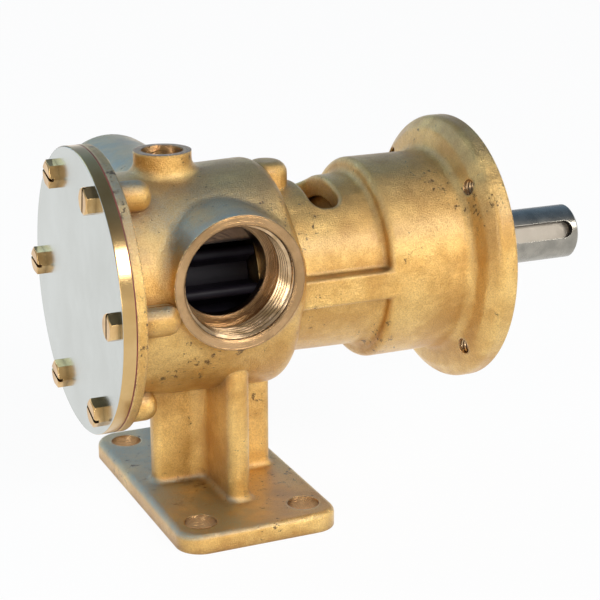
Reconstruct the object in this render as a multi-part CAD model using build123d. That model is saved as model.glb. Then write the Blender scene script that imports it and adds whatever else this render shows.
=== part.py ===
from build123d import *
import os
from math import acos, atan2, cos, hypot, radians, sin

# Foot-mounted pump with a flexible rubber impeller and a long bearing pedestal, all turned about
# one shaft line. A station is a distance along the shaft from the outer face of the end cover.
# The model is drawn with the shaft on the X axis and moved to the foot at the end.
# Millimetres. +X runs to the drive end, the near port looks along -Y, +Z is up.

# Heights and the foot
AXIS_HEIGHT = 100.0
FOOT_STATION = 58.5
FOOT_LENGTH = 71.4
FOOT_WIDTH = 126.0
FOOT_THICKNESS = 8.2
FOOT_CORNER = 11.0
FOOT_EDGE_ROUND = 2.8
FOOT_HOLE_R = 6.75
FOOT_HOLES_X = 47.0
FOOT_HOLES_Y = 98.0

# Pedestal between the foot and the body
WEB_LENGTH = 55.0
WEB_THICKNESS = 9.0
RIB_LENGTH = 74.0
RIB_THICKNESS = 10.0
PEDESTAL_CORNER = 7.0
PEDESTAL_ROOT = 3.0
PEDESTAL_SINK = 72.0

# End cover, its gasket and screws
COVER_R = 61.0
COVER_THICKNESS = 5.5
COVER_EDGE = 0.5
GASKET_THICKNESS = 0.5
SCREW_CIRCLE_R = 52.0
SCREW_COUNT = 6
SCREW_R = 3.0
SCREW_LENGTH = 14.0
SCREW_TIP_GAP = 1.2
SCREW_HEAD_AF = 10.8
SCREW_HEAD_HEIGHT = 4.1
SCREW_SLOT_WIDTH = 1.5
SCREW_SLOT_DEPTH = 1.9
SCREW_HOLE_GAP = 0.3
THREAD_GAP = 0.05
LUG_R = 6.5
LUG_LENGTH = 14.0
SIDE_LUG_LENGTH = 16.0
LUG_END_ROUND = 5.5

# Body of the casting
FLANGE_THICKNESS = 4.4
FLANGE_ROOT = 3.5
BARREL_FRONT_R = 47.3
BARREL_BACK_R = 49.6
BARREL_END_WALL = 11.4
BARREL_BACK_ROUND = 7.0
CHAMBER_R = 28.6

# Ports
PORT_OFFSET = 31.2
PORT_RISE = 11.5
PORT_RING_R = 28.3
PORT_ROOT_R = 30.0
PORT_BLEND = 7.0
PORT_THREAD_R = 23.9
PORT_THREAD_LENGTH = 16.0
PORT_MOUTH_CHAMFER = 0.7
PORT_RELIEF_R = 24.5
PORT_RELIEF_LENGTH = 4.0
NEAR_PORT_REACH = 53.0
FAR_PORT_REACH = 117.0
PORT_PASSAGE_R = 19.6

# Screw boss on top, over the cam
BOSS_OFFSET = 13.6
BOSS_R = 12.3
BOSS_TOP = 57.0
BOSS_BLEND = 5.0
BOSS_POCKET_R = 9.0
BOSS_POCKET_DEPTH = 11.0

# Blind boss on top of the neck, against the back of the barrel
VENT_BOSS_OFFSET = 2.0
VENT_BOSS_R = 9.4
VENT_BOSS_TOP = 48.3
VENT_BOSS_ROUND = 5.5

# Neck, bearing housing and drive flange of the casting. An offset is counted from the form before it
NECK_FRONT_R = 37.3
NECK_R = 38.4
NECK_ROOT = 2.5
STEP_OFFSET = 2.5
STEP_ROUND = 3.2
HOUSING_R = 45.0
HOUSING_LENGTH = 38.6
FLANGE_FILLET = 4.5
DRIVE_FLANGE_R = 60.1
DRIVE_FLANGE_WEB_R = 54.5
DRIVE_FLANGE_RIM_OFFSET = 6.4
DRIVE_FLANGE_SLOPE = 2.0
DRIVE_FLANGE_RIM_WIDTH = 7.5
DRIVE_FLANGE_ROUND = 4.8
DRIVE_HOLE_CIRCLE_R = 51.3
DRIVE_HOLE_R = 3.4
DRIVE_HOLE_COUNT = 4
SIDE_RIB_TOP = 5.6
SIDE_RIB_BOTTOM = -7.0
SIDE_RIB_R = 44.5
SIDE_RIB_ROUND = 1.6
DRAIN_R = 29.0
DRAIN_WALL = 2.4
DRAIN_LENGTH = 19.5
DRAIN_WINDOW_OFFSET = 10.7
DRAIN_WINDOW_LENGTH = 13.4
DRAIN_WINDOW_SPAN = 41.6
DRAIN_WINDOW_CORNER = 5.2
DRAIN_WINDOW_ROUND = 1.8
WEEP_HOLE_R = 5.0

# Seats inside the casting
SEAL_CAVITY_R = 22.0
SEAL_CAVITY_LENGTH = 13.5
SEAL_SEAT_R = 20.0
SEAL_SEAT_LENGTH = 7.0
SHAFT_PASSAGE_R = 15.5
OIL_SEAL_R = 23.5
OIL_SEAL_WIDTH = 7.0
OIL_SEAL_STOP_R = 20.0
OIL_SEAL_STOP_WIDTH = 2.5
OIL_SEAL_BEHIND = 4.0
CIRCLIP_GROOVE_DEPTH = 1.5

# Shaft
SHAFT_IMPELLER_R = 11.0
SHAFT_SEAL_R = 12.5
SHAFT_JOURNAL_R = 13.0
SHAFT_DRIVE_R = 12.5
SHAFT_JOURNAL_OVERHANG = 3.0
SHAFT_SEAL_LEAD = 1.5
SHAFT_DRIVE_LENGTH = 61.5
SHAFT_BEARING_R = 15.0
SHAFT_COLLAR_R = 18.5
SHAFT_START = 8.0
SHAFT_CHAMFER = 1.0
DRIVE_KEYWAY_WIDTH = 8.0
DRIVE_KEYWAY_DEPTH = 4.0
DRIVE_KEYWAY_LENGTH = 46.5
DRIVE_KEYWAY_END_GAP = 3.5
DRIVE_KEYWAY_TURN = 20.0

# Impeller and what it runs against
IMPELLER_WIDTH = 64.0
IMPELLER_INSERT_R = 14.0
IMPELLER_HUB_R = 16.8
VANE_COUNT = 10
VANE_TIP_GAP = 0.4
VANE_THICKNESS = 2.8
VANE_TIP_R = 2.2
IMPELLER_KEY_WIDTH = 5.0
IMPELLER_KEY_HEIGHT = 4.7
IMPELLER_KEY_LENGTH = 36.0
SLIDE_GAP = 0.03
SIDE_GAP = 0.3
COVER_SIDE_GAP = 0.8
CAM_RISE = 4.5
CAM_HALF_ANGLE = 46.0
CAM_GAP = 0.1
WEAR_PLATE_THICKNESS = 1.5
WEAR_PLATE_HOLE_R = 14.0
PIN_R = 1.5
PIN_EDGE = 3.6
PIN_LENGTH = 6.0
CAM_SCREW_R = 4.0
CAM_SCREW_AF = 13.0
CAM_SCREW_HEAD = 5.3
CAM_SCREW_BITE = 4.0
WASHER_R = 7.8
WASHER_THICKNESS = 1.5

# Mechanical seal and slinger
SEAL_SEAT_BORE_R = 13.3
SEAL_RING_R = 17.5
CARBON_LENGTH = 6.0
BELLOWS_LENGTH = 6.8
BELLOWS_R = 16.0
SPRING_R = 18.4
SPRING_WIRE_R = 0.8
SPRING_TURNS = 3
SLINGER_OFFSET = 3.5
SLINGER_R = 24.0
SLINGER_WIDTH = 3.0
RUN_GAP = 0.05

# Two deep-groove ball bearings and their retaining rings
BEARING_WIDTH = 19.0
BEARING_OUTER_R = 36.0
BALL_SHARE = 0.581
RING_SHARE = 0.267
BALL_COUNT = 8
GROOVE_GAP = 0.25
CAGE_HALF_WALL = 1.1
CAGE_RIM = 0.7
POCKET_GAP = 0.15
BEARING_SPACER = 2.0
SPACER_WALL = 4.0
CIRCLIP_THICKNESS = 1.5
HOUSING_CIRCLIP_THICKNESS = 2.5
CIRCLIP_WALL = 4.6
CIRCLIP_GAP = 7.0
CIRCLIP_EAR_R = 2.4
CIRCLIP_EAR_HOLE_R = 0.9
CIRCLIP_EAR_DROP = 0.4
CIRCLIP_BITE = 0.7
SLOT_GAP = 0.1

# Stations and radii that follow from the sizes above
GASKET_BACK = COVER_THICKNESS + GASKET_THICKNESS
FLANGE_BACK = GASKET_BACK + FLANGE_THICKNESS
IMPELLER_START = GASKET_BACK + COVER_SIDE_GAP
WEAR_PLATE_FRONT = IMPELLER_START + IMPELLER_WIDTH + SIDE_GAP
CHAMBER_BACK = WEAR_PLATE_FRONT + WEAR_PLATE_THICKNESS
BARREL_BACK = CHAMBER_BACK + BARREL_END_WALL
PORT_STATION = BARREL_BACK - PORT_OFFSET
BOSS_STATION = PORT_STATION - BOSS_OFFSET
VENT_BOSS_STATION = BARREL_BACK + VENT_BOSS_OFFSET
SEAL_SEAT_START = CHAMBER_BACK + SEAL_CAVITY_LENGTH
SEAL_SEAT_END = SEAL_SEAT_START + SEAL_SEAT_LENGTH
DRAIN_START = SEAL_SEAT_END + DRAIN_WALL
DRAIN_BACK = DRAIN_START + DRAIN_LENGTH
DRAIN_WINDOW_STATION = DRAIN_START + DRAIN_WINDOW_OFFSET
SLINGER_STATION = DRAIN_START + SLINGER_OFFSET
OIL_SEAL_START = DRAIN_BACK + OIL_SEAL_STOP_WIDTH
FRONT_BEARING = OIL_SEAL_START + OIL_SEAL_WIDTH + OIL_SEAL_BEHIND
STEP_STATION = FRONT_BEARING - STEP_OFFSET
HOUSING_BACK = STEP_STATION + HOUSING_LENGTH
DRIVE_FLANGE_RIM_STATION = HOUSING_BACK + DRIVE_FLANGE_RIM_OFFSET
DRIVE_FLANGE_BACK = DRIVE_FLANGE_RIM_STATION + DRIVE_FLANGE_RIM_WIDTH
REAR_BEARING = FRONT_BEARING + BEARING_WIDTH + BEARING_SPACER
REAR_BEARING_END = REAR_BEARING + BEARING_WIDTH
HOUSING_CIRCLIP_END = REAR_BEARING_END + HOUSING_CIRCLIP_THICKNESS + SLOT_GAP
SHAFT_JOURNAL_START = HOUSING_CIRCLIP_END - SIDE_GAP
SHAFT_DRIVE_START = DRIVE_FLANGE_BACK + SHAFT_JOURNAL_OVERHANG
SHAFT_BEARING_START = OIL_SEAL_START - SHAFT_SEAL_LEAD
SHAFT_END = DRIVE_FLANGE_BACK + SHAFT_DRIVE_LENGTH
DRIVE_KEYWAY_END = SHAFT_END - DRIVE_KEYWAY_END_GAP
DRIVE_KEYWAY_START = DRIVE_KEYWAY_END - DRIVE_KEYWAY_LENGTH
BEARING_SECTION = BEARING_OUTER_R - SHAFT_BEARING_R
BEARING_INNER_RACE_R = SHAFT_BEARING_R + RING_SHARE * BEARING_SECTION
BEARING_OUTER_RACE_R = BEARING_OUTER_R - RING_SHARE * BEARING_SECTION
BALL_PITCH_R = (BEARING_INNER_RACE_R + BEARING_OUTER_RACE_R) / 2
BALL_R = BALL_SHARE * BEARING_SECTION / 2
GROOVE_R = BALL_R + GROOVE_GAP
CAGE_WIDTH = 2 * (BALL_R + CAGE_RIM)
BOSS_FLOOR = BOSS_TOP - BOSS_POCKET_DEPTH
VANE_LENGTH = CHAMBER_R - IMPELLER_HUB_R - VANE_TIP_R - VANE_TIP_GAP
PIN_CIRCLE_R = CHAMBER_R - PIN_EDGE
CAM_TOP = CHAMBER_R - CAM_RISE
CAM_DROP = (CHAMBER_R**2 - CAM_TOP**2) / (2 * (CAM_TOP - CHAMBER_R * cos(radians(CAM_HALF_ANGLE))))
CAM_RADIUS = CAM_TOP + CAM_DROP
SHAFT_SEAL_START = CHAMBER_BACK - SIDE_GAP


# Helpers
def turned(points):
    """Solid turned about the shaft line. A point is (station, radius, corner radius)."""
    face = make_face(Polyline(*[(s, r) for s, r, _ in points], close=True))
    for s, r, corner in points:
        if corner:
            face = fillet(face.vertices().sort_by_distance(Vector(s, r, 0))[0], corner)
    return revolve(face, Axis.X, 360)


def ring(start, end, inner_r, outer_r):
    """Plain ring on the shaft line between two stations."""
    return turned([(start, inner_r, 0), (start, outer_r, 0), (end, outer_r, 0), (end, inner_r, 0)])


def rod(start, end, radius):
    """Plain cylinder on the shaft line between two stations."""
    return turned([(start, 0, 0), (start, radius, 0), (end, radius, 0), (end, 0, 0)])


def toward_near(shape):
    """Turn a shape from the shaft line to the near port's line."""
    return Pos(PORT_STATION, 0, PORT_RISE) * Rot(0, 0, -90) * shape


def toward_far(shape):
    """Turn a shape from the shaft line to the far port's line."""
    return Pos(PORT_STATION, 0, PORT_RISE) * Rot(0, 0, 90) * shape


def upright(shape):
    """Turn a shape from the shaft line to the boss's vertical line."""
    return Pos(BOSS_STATION, 0, 0) * Rot(0, -90, 0) * shape


def around(radius, angle):
    """Point at a radius on the circle round the shaft, 0 degrees at the near side, 90 on top."""
    return Pos(0, -radius * cos(radians(angle)), radius * sin(radians(angle)))


def screw_spots():
    """Places of the cover screws on their circle."""
    return [around(SCREW_CIRCLE_R, 360 * i / SCREW_COUNT) for i in range(SCREW_COUNT)]


def edges_between(shape, low, high):
    """Edges whose centre lies inside a box given by two corners."""
    return [
        edge
        for edge in shape.edges()
        if all(low[i] < tuple(edge.center())[i] < high[i] for i in range(3))
    ]


# Casting: outside form
def port_neck(reach):
    """Slightly tapered neck that ends in the machined ring of a port."""
    return turned([(0, 0, 0), (0, PORT_ROOT_R, 0), (reach, PORT_RING_R, 0), (reach, 0, 0)])


def screw_lug(length):
    """Boss behind the cover flange that takes the thread of one cover screw."""
    end = FLANGE_BACK + length
    return turned([(GASKET_BACK, 0, 0), (GASKET_BACK, LUG_R, 0), (end, LUG_R, LUG_END_ROUND), (end, 0, 0)])


def body_blank():
    """Barrel with both port necks and the top boss, blended, then trimmed to its length."""
    overrun = 2 * BARREL_BACK_R
    slope = (BARREL_BACK_R - BARREL_FRONT_R) / BARREL_BACK
    start, end = -overrun, BARREL_BACK + overrun
    blank = turned(
        [
            (start, 0, 0),
            (start, BARREL_FRONT_R + slope * start, 0),
            (end, BARREL_FRONT_R + slope * end, 0),
            (end, 0, 0),
        ]
    )
    blank += toward_near(port_neck(NEAR_PORT_REACH)) + toward_far(port_neck(FAR_PORT_REACH))
    seams = [edge for edge in blank.edges() if edge.geom_type == GeomType.BSPLINE]
    blank = fillet(seams, PORT_BLEND)
    blank += upright(rod(CHAMBER_R, BOSS_TOP, BOSS_R))
    rim = BOSS_R + 1
    low = (BOSS_STATION - rim, -rim, CHAMBER_R)
    high = (BOSS_STATION + rim, rim, BOSS_TOP - 0.1)
    seams = [e for e in edges_between(blank, low, high) if e.geom_type == GeomType.BSPLINE]
    blank = fillet(seams, BOSS_BLEND)
    width = 4 * FAR_PORT_REACH
    middle = (GASKET_BACK + BARREL_BACK) / 2
    blank &= Pos(middle, 0, 0) * Box(BARREL_BACK - GASKET_BACK, width, width)
    back = [e for e in blank.edges() if e.bounding_box().min.X > BARREL_BACK - 0.01]
    return fillet(back, BARREL_BACK_ROUND)


def cover_flange():
    """Round flange that carries the end cover, with a small outer edge break."""
    return turned(
        [
            (GASKET_BACK, 0, 0),
            (GASKET_BACK, COVER_R, 0),
            (FLANGE_BACK, COVER_R, COVER_EDGE),
            (FLANGE_BACK, 0, 0),
        ]
    )


def neck_radius(station):
    """Outer radius of the neck, which widens slightly to the drive end."""
    start = BARREL_BACK - BARREL_BACK_ROUND
    share = (station - start) / (STEP_STATION - start)
    return NECK_FRONT_R + share * (NECK_R - NECK_FRONT_R)


def vent_boss():
    """Round blind boss that stands up between the barrel and the drain window."""
    foot, top, round_r = SEAL_SEAT_R, VENT_BOSS_TOP, VENT_BOSS_ROUND
    post = turned([(foot, 0, 0), (foot, VENT_BOSS_R, 0), (top, VENT_BOSS_R, round_r), (top, 0, 0)])
    return Pos(VENT_BOSS_STATION, 0, 0) * Rot(0, -90, 0) * post


def tail():
    """Neck, stepped bearing housing and flared drive flange, turned in one profile."""
    rim_start = DRIVE_FLANGE_RIM_STATION
    return turned(
        [
            (BARREL_BACK - BARREL_BACK_ROUND, 0, 0),
            (BARREL_BACK - BARREL_BACK_ROUND, NECK_FRONT_R, 0),
            (STEP_STATION, NECK_R, STEP_ROUND),
            (STEP_STATION, HOUSING_R, STEP_ROUND),
            (HOUSING_BACK, HOUSING_R, FLANGE_FILLET),
            (HOUSING_BACK + DRIVE_FLANGE_SLOPE, DRIVE_FLANGE_WEB_R, DRIVE_FLANGE_ROUND),
            (rim_start, DRIVE_FLANGE_R, DRIVE_FLANGE_ROUND),
            (DRIVE_FLANGE_BACK, DRIVE_FLANGE_R, COVER_EDGE * 2),
            (DRIVE_FLANGE_BACK, 0, 0),
        ]
    )


def side_rib(side):
    """Flat stiffening rib along one side of the neck. side is -1 for near and 1 for far."""
    start, end = BARREL_BACK - BARREL_BACK_ROUND, STEP_STATION + STEP_ROUND
    height = SIDE_RIB_TOP - SIDE_RIB_BOTTOM
    block = Box(end - start, SIDE_RIB_R - DRAIN_R, height)
    outer = block.edges().filter_by(Axis.X).sort_by(Axis.Y)[2:]
    block = fillet(outer, SIDE_RIB_ROUND)
    middle_z = (SIDE_RIB_TOP + SIDE_RIB_BOTTOM) / 2
    block = Pos((start + end) / 2, (SIDE_RIB_R + DRAIN_R) / 2, middle_z) * block
    return block if side > 0 else mirror(block, Plane.XZ)


def foot_and_pedestal():
    """Foot plate with a cross-shaped pedestal whose inner corners are cast round."""
    underside = -AXIS_HEIGHT
    top = underside + FOOT_THICKNESS
    outline = RectangleRounded(FOOT_LENGTH, FOOT_WIDTH, FOOT_CORNER)
    plate = extrude(outline, FOOT_THICKNESS)
    upper = plate.edges().group_by(Axis.Z)[-1]
    plate = fillet(upper, FOOT_EDGE_ROUND)
    web = RectangleRounded(WEB_LENGTH, WEB_THICKNESS, WEB_THICKNESS * 0.4)
    rib = RectangleRounded(RIB_THICKNESS, RIB_LENGTH, RIB_THICKNESS * 0.45)
    cross = web + rib
    inner = [
        v for v in cross.vertices() if abs(v.X) < RIB_THICKNESS * 0.6 and abs(v.Y) < WEB_THICKNESS * 0.6
    ]
    cross = fillet(inner, PEDESTAL_CORNER)
    column = Pos(0, 0, FOOT_THICKNESS) * extrude(cross, PEDESTAL_SINK - FOOT_THICKNESS)
    stand = plate + column
    seams = [
        e
        for e in stand.edges()
        if abs(e.bounding_box().min.Z - FOOT_THICKNESS) < 0.01
        and abs(e.bounding_box().max.Z - FOOT_THICKNESS) < 0.01
        and abs(e.center().X) <= WEB_LENGTH / 2
        and abs(e.center().Y) <= RIB_LENGTH / 2
    ]
    stand = fillet(seams, PEDESTAL_ROOT)
    holes = [
        Pos(x, y, FOOT_THICKNESS / 2) * Cylinder(FOOT_HOLE_R, FOOT_THICKNESS * 2)
        for x in (-FOOT_HOLES_X / 2, FOOT_HOLES_X / 2)
        for y in (-FOOT_HOLES_Y / 2, FOOT_HOLES_Y / 2)
    ]
    stand -= holes
    return Pos(FOOT_STATION, 0, top - FOOT_THICKNESS) * stand


# Casting: what is cut out of it
def shaft_line_bores():
    """Stepped bore from the pumping chamber to the drive end, with the circlip groove."""
    groove_r = BEARING_OUTER_R + CIRCLIP_GROOVE_DEPTH
    steps = [
        (GASKET_BACK, CHAMBER_R),
        (CHAMBER_BACK, SEAL_CAVITY_R),
        (SEAL_SEAT_START, SEAL_SEAT_R),
        (SEAL_SEAT_END, SHAFT_PASSAGE_R),
        (DRAIN_START, DRAIN_R),
        (DRAIN_BACK, OIL_SEAL_STOP_R),
        (OIL_SEAL_START, OIL_SEAL_R),
        (FRONT_BEARING, BEARING_OUTER_R),
        (REAR_BEARING_END, groove_r),
        (HOUSING_CIRCLIP_END, BEARING_OUTER_R),
    ]
    points = [(GASKET_BACK, 0, 0)]
    ends = [start for start, _ in steps[1:]] + [DRIVE_FLANGE_BACK]
    for (start, radius), end in zip(steps, ends):
        points += [(start, radius, 0), (end, radius, 0)]
    points.append((DRIVE_FLANGE_BACK, 0, 0))
    return turned(points)


def port_bore(reach):
    """Threaded mouth at the thread's full diameter, its relief, and the passage to the chamber."""
    thread_end = reach - PORT_THREAD_LENGTH
    relief_end = thread_end - PORT_RELIEF_LENGTH
    cam_side = CHAMBER_R * sin(radians(CAM_HALF_ANGLE))
    return turned(
        [
            (cam_side, 0, 0),
            (cam_side, PORT_PASSAGE_R, 0),
            (relief_end, PORT_PASSAGE_R, 0),
            (relief_end, PORT_RELIEF_R, 0),
            (thread_end, PORT_RELIEF_R, 0),
            (thread_end, PORT_THREAD_R, 0),
            (reach - PORT_MOUTH_CHAMFER, PORT_THREAD_R, 0),
            (reach, PORT_THREAD_R + PORT_MOUTH_CHAMFER, 0),
            (reach, 0, 0),
        ]
    )


def boss_bores():
    """Pocket for the head of the cam screw, and the screw's hole down to the chamber."""
    return upright(rod(BOSS_FLOOR, BOSS_TOP, BOSS_POCKET_R) + rod(0, BOSS_TOP, CAM_SCREW_R + 0.1))


def drain_openings():
    """Oval window across the top of the neck, and a weep hole underneath."""
    outline = RectangleRounded(DRAIN_WINDOW_LENGTH, DRAIN_WINDOW_SPAN, DRAIN_WINDOW_CORNER)
    floor = DRAIN_R * cos(radians(60))
    cutter = Pos(DRAIN_WINDOW_STATION, 0, floor) * extrude(outline, HOUSING_R - floor)
    weep = Pos(DRAIN_WINDOW_STATION, 0, -(DRAIN_R + NECK_R) / 2)
    return cutter + weep * Cylinder(WEEP_HOLE_R, NECK_R - DRAIN_R + 6)


def casting():
    """Bronze casting: cover flange, barrel, ports, boss, neck, housing, flange and foot."""
    shape = body_blank() + cover_flange()
    root = [
        e
        for e in shape.edges()
        if abs(e.bounding_box().min.X - FLANGE_BACK) < 0.01
        and abs(e.bounding_box().max.X - FLANGE_BACK) < 0.01
        and e.bounding_box().size.Z < 2 * COVER_R - 4
    ]
    shape = fillet(root, FLANGE_ROOT)
    shape += tail()
    neck_edge = [
        e
        for e in shape.edges()
        if e.geom_type == GeomType.CIRCLE
        and abs(e.radius - neck_radius(BARREL_BACK)) < 0.01
        and abs(e.center().X - BARREL_BACK) < 0.01
    ]
    shape = fillet(neck_edge, NECK_ROOT)
    shape += foot_and_pedestal() + vent_boss()
    shape += [side_rib(side) for side in (-1, 1)]
    for i, spot in enumerate(screw_spots()):
        at_side = abs(cos(radians(360 * i / SCREW_COUNT))) > 0.9
        shape += spot * screw_lug(SIDE_LUG_LENGTH if at_side else LUG_LENGTH)
    shape -= shaft_line_bores()
    shape -= toward_near(rod(NEAR_PORT_REACH, NEAR_PORT_REACH + LUG_R, PORT_RING_R))
    shape -= toward_near(port_bore(NEAR_PORT_REACH)) + toward_far(port_bore(FAR_PORT_REACH))
    shape -= boss_bores()
    shape -= drain_openings()
    reach = 0.6 * DRAIN_WINDOW_LENGTH
    low = (DRAIN_WINDOW_STATION - reach, -DRAIN_WINDOW_SPAN, 0)
    high = (DRAIN_WINDOW_STATION + reach, DRAIN_WINDOW_SPAN, HOUSING_R)
    wall_middle = (DRAIN_R + NECK_R) / 2
    rim = [e for e in edges_between(shape, low, high) if hypot(e.center().Y, e.center().Z) > wall_middle]
    shape = fillet(rim, DRAIN_WINDOW_ROUND)
    thread = rod(GASKET_BACK, SCREW_LENGTH + SCREW_TIP_GAP, SCREW_R + THREAD_GAP)
    shape -= [spot * thread for spot in screw_spots()]
    drive_hole = rod(HOUSING_BACK - 1, DRIVE_FLANGE_BACK, DRIVE_HOLE_R)
    turn = 360 / DRIVE_HOLE_COUNT
    for i in range(DRIVE_HOLE_COUNT):
        shape -= around(DRIVE_HOLE_CIRCLE_R, turn * (i + 0.5)) * drive_hole
    shape -= around(PIN_CIRCLE_R, -90) * rod(CHAMBER_BACK, CHAMBER_BACK + PIN_LENGTH, PIN_R + SLIDE_GAP)
    return shape


# Cover, gasket and screws
def cover_plate():
    """Flat round end cover with its screw holes."""
    plate = turned(
        [
            (0, 0, 0),
            (0, COVER_R, COVER_EDGE),
            (COVER_THICKNESS, COVER_R, 0),
            (COVER_THICKNESS, 0, 0),
        ]
    )
    hole = rod(-1, COVER_THICKNESS + 1, SCREW_R + SCREW_HOLE_GAP)
    return plate - [spot * hole for spot in screw_spots()]


def cover_gasket():
    """Thin flat gasket between the cover and the flange, open over the chamber."""
    sheet = ring(COVER_THICKNESS, GASKET_BACK, CHAMBER_R, COVER_R)
    hole = rod(COVER_THICKNESS - 1, GASKET_BACK + 1, SCREW_R + SCREW_HOLE_GAP)
    return sheet - [spot * hole for spot in screw_spots()]


def slotted_hex_screw(across_flats, head_height, shank_r, length):
    """Screw along X: head from -head_height to 0, shank from 0 to length, slot across two corners."""
    hexagon = RegularPolygon(across_flats / 2, 6, major_radius=False)
    head = Pos(-head_height, 0, 0) * Rot(0, 90, 0) * extrude(hexagon, head_height)
    corner_r = across_flats / 2 / cos(radians(30))
    bevel = 0.25 * (corner_r - across_flats / 2) + 0.5
    cone = turned(
        [
            (-head_height, 0, 0),
            (-head_height, corner_r - 2 * bevel, 0),
            (-head_height + bevel, corner_r, 0),
            (0, corner_r, 0),
            (0, 0, 0),
        ]
    )
    head &= cone
    slot = Box(2 * SCREW_SLOT_DEPTH, 3 * across_flats, SCREW_SLOT_WIDTH)
    head -= Pos(-head_height, 0, 0) * Rot(30, 0, 0) * slot
    return head + rod(-head_height / 3, length, shank_r)


def cover_screws():
    """All cover screws, each turned to its own angle as tightening leaves them."""
    screw = slotted_hex_screw(SCREW_HEAD_AF, SCREW_HEAD_HEIGHT, SCREW_R, SCREW_LENGTH)
    turns = [66, 69, -14, -18, -16, -8]
    return [
        spot * Rot(turns[i % len(turns)], 0, 0) * screw for i, spot in enumerate(screw_spots())
    ]


# Inside the chamber
def cam():
    """Crescent that narrows the top of the chamber, threaded for the cam screw."""
    start, end = IMPELLER_START - SIDE_GAP / 2, WEAR_PLATE_FRONT - SIDE_GAP / 2
    crescent = rod(start, end, CHAMBER_R - CAM_GAP) - Pos(0, 0, -CAM_DROP) * rod(start, end, CAM_RADIUS)
    for side in (-1, 1):
        wall = Pos(0, side * CHAMBER_R, 0) * Box(4 * IMPELLER_WIDTH, 2 * CHAMBER_R, 4 * CHAMBER_R)
        edge_y = CHAMBER_R * sin(radians(CAM_HALF_ANGLE))
        crescent -= Pos(0, side * edge_y, 0) * wall
    hole_floor = BOSS_FLOOR + WASHER_THICKNESS - cam_screw_length()
    return crescent - upright(rod(hole_floor, BOSS_TOP, CAM_SCREW_R + THREAD_GAP))


def cam_screw_length():
    """Shank long enough to pass the wall and bite into the cam."""
    return BOSS_FLOOR + WASHER_THICKNESS - (CHAMBER_R - CAM_SCREW_BITE)


def cam_screw():
    """Screw that holds the cam from outside, standing in the boss's pocket."""
    screw = slotted_hex_screw(CAM_SCREW_AF, CAM_SCREW_HEAD, CAM_SCREW_R, cam_screw_length())
    return Pos(BOSS_STATION, 0, BOSS_FLOOR + WASHER_THICKNESS) * Rot(0, 90, 0) * screw


def cam_screw_washer():
    """Sealing washer under the head of the cam screw."""
    return upright(ring(BOSS_FLOOR, BOSS_FLOOR + WASHER_THICKNESS, CAM_SCREW_R + SCREW_HOLE_GAP, WASHER_R))


def wear_plate():
    """Thin disc that closes the back of the chamber and takes the impeller's wear."""
    disc = ring(WEAR_PLATE_FRONT, CHAMBER_BACK, WEAR_PLATE_HOLE_R, CHAMBER_R - CAM_GAP)
    return disc - around(PIN_CIRCLE_R, -90) * rod(WEAR_PLATE_FRONT - 1, CHAMBER_BACK + 1, PIN_R + SLIDE_GAP)


def wear_plate_pin():
    """Dowel that stops the wear plate from turning."""
    return around(PIN_CIRCLE_R, -90) * rod(WEAR_PLATE_FRONT, CHAMBER_BACK + PIN_LENGTH - 1, PIN_R)


def circle_meeting(centre_a, radius_a, centre_b, radius_b):
    """Point where two circles meet, on the clockwise side of the line from b to a, or None."""
    dy, dz = centre_a[0] - centre_b[0], centre_a[1] - centre_b[1]
    gap = hypot(dy, dz)
    if radius_b - radius_a >= gap:
        return None
    turn = acos((gap**2 + radius_b**2 - radius_a**2) / (2 * gap * radius_b))
    angle = atan2(dz, dy) - turn
    return centre_b[0] + radius_b * cos(angle), centre_b[1] + radius_b * sin(angle)


def vane(angle):
    """Section of one vane: straight where it has room, bent back where the cam presses on it."""
    way = (sin(radians(angle)), cos(radians(angle)))
    root = (way[0] * IMPELLER_HUB_R, way[1] * IMPELLER_HUB_R)
    buried = (way[0] * IMPELLER_INSERT_R * 1.1, way[1] * IMPELLER_INSERT_R * 1.1)
    straight = (root[0] + way[0] * VANE_LENGTH, root[1] + way[1] * VANE_LENGTH)
    tip = None
    if abs(angle) < CAM_HALF_ANGLE:
        limit = CAM_RADIUS - VANE_TIP_R - CAM_GAP
        tip = circle_meeting(root, VANE_LENGTH, (0, -CAM_DROP), limit)
    if tip is None:
        blade = trace(Line(buried, straight), VANE_THICKNESS)
        tip = straight
    else:
        half = VANE_LENGTH / 2
        knee = (
            (root[0] + way[0] * half + (root[0] + tip[0]) / 2) / 2,
            (root[1] + way[1] * half + (root[1] + tip[1]) / 2) / 2,
        )
        blade = trace(ThreePointArc(root, knee, tip), VANE_THICKNESS)
        blade += trace(Line(buried, root), VANE_THICKNESS)
        blade += Pos(*root) * Circle(VANE_THICKNESS / 2)
    return blade + Pos(*tip) * Circle(VANE_TIP_R)


def impeller_rubber():
    """Rubber hub and vanes, as they lie at rest with the top vanes bent under the cam."""
    section = Circle(IMPELLER_HUB_R)
    step = 360 / VANE_COUNT
    for i in range(VANE_COUNT):
        angle = step * (i + 0.5)
        section += vane(angle - 360 if angle > 180 else angle)
    section -= Circle(IMPELLER_INSERT_R)
    return Pos(IMPELLER_START, 0, 0) * extrude(Plane.YZ * section, IMPELLER_WIDTH)


def impeller_key_block(gap):
    """Key block on top of the impeller's seat, grown sideways by a gap."""
    height = IMPELLER_KEY_HEIGHT
    floor = SHAFT_IMPELLER_R - 0.55 * height
    middle = IMPELLER_START + IMPELLER_WIDTH / 2
    block = Box(IMPELLER_KEY_LENGTH + 2 * gap, IMPELLER_KEY_WIDTH + 2 * gap, height + gap)
    return Pos(middle, 0, floor + (height + gap) / 2) * block


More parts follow.
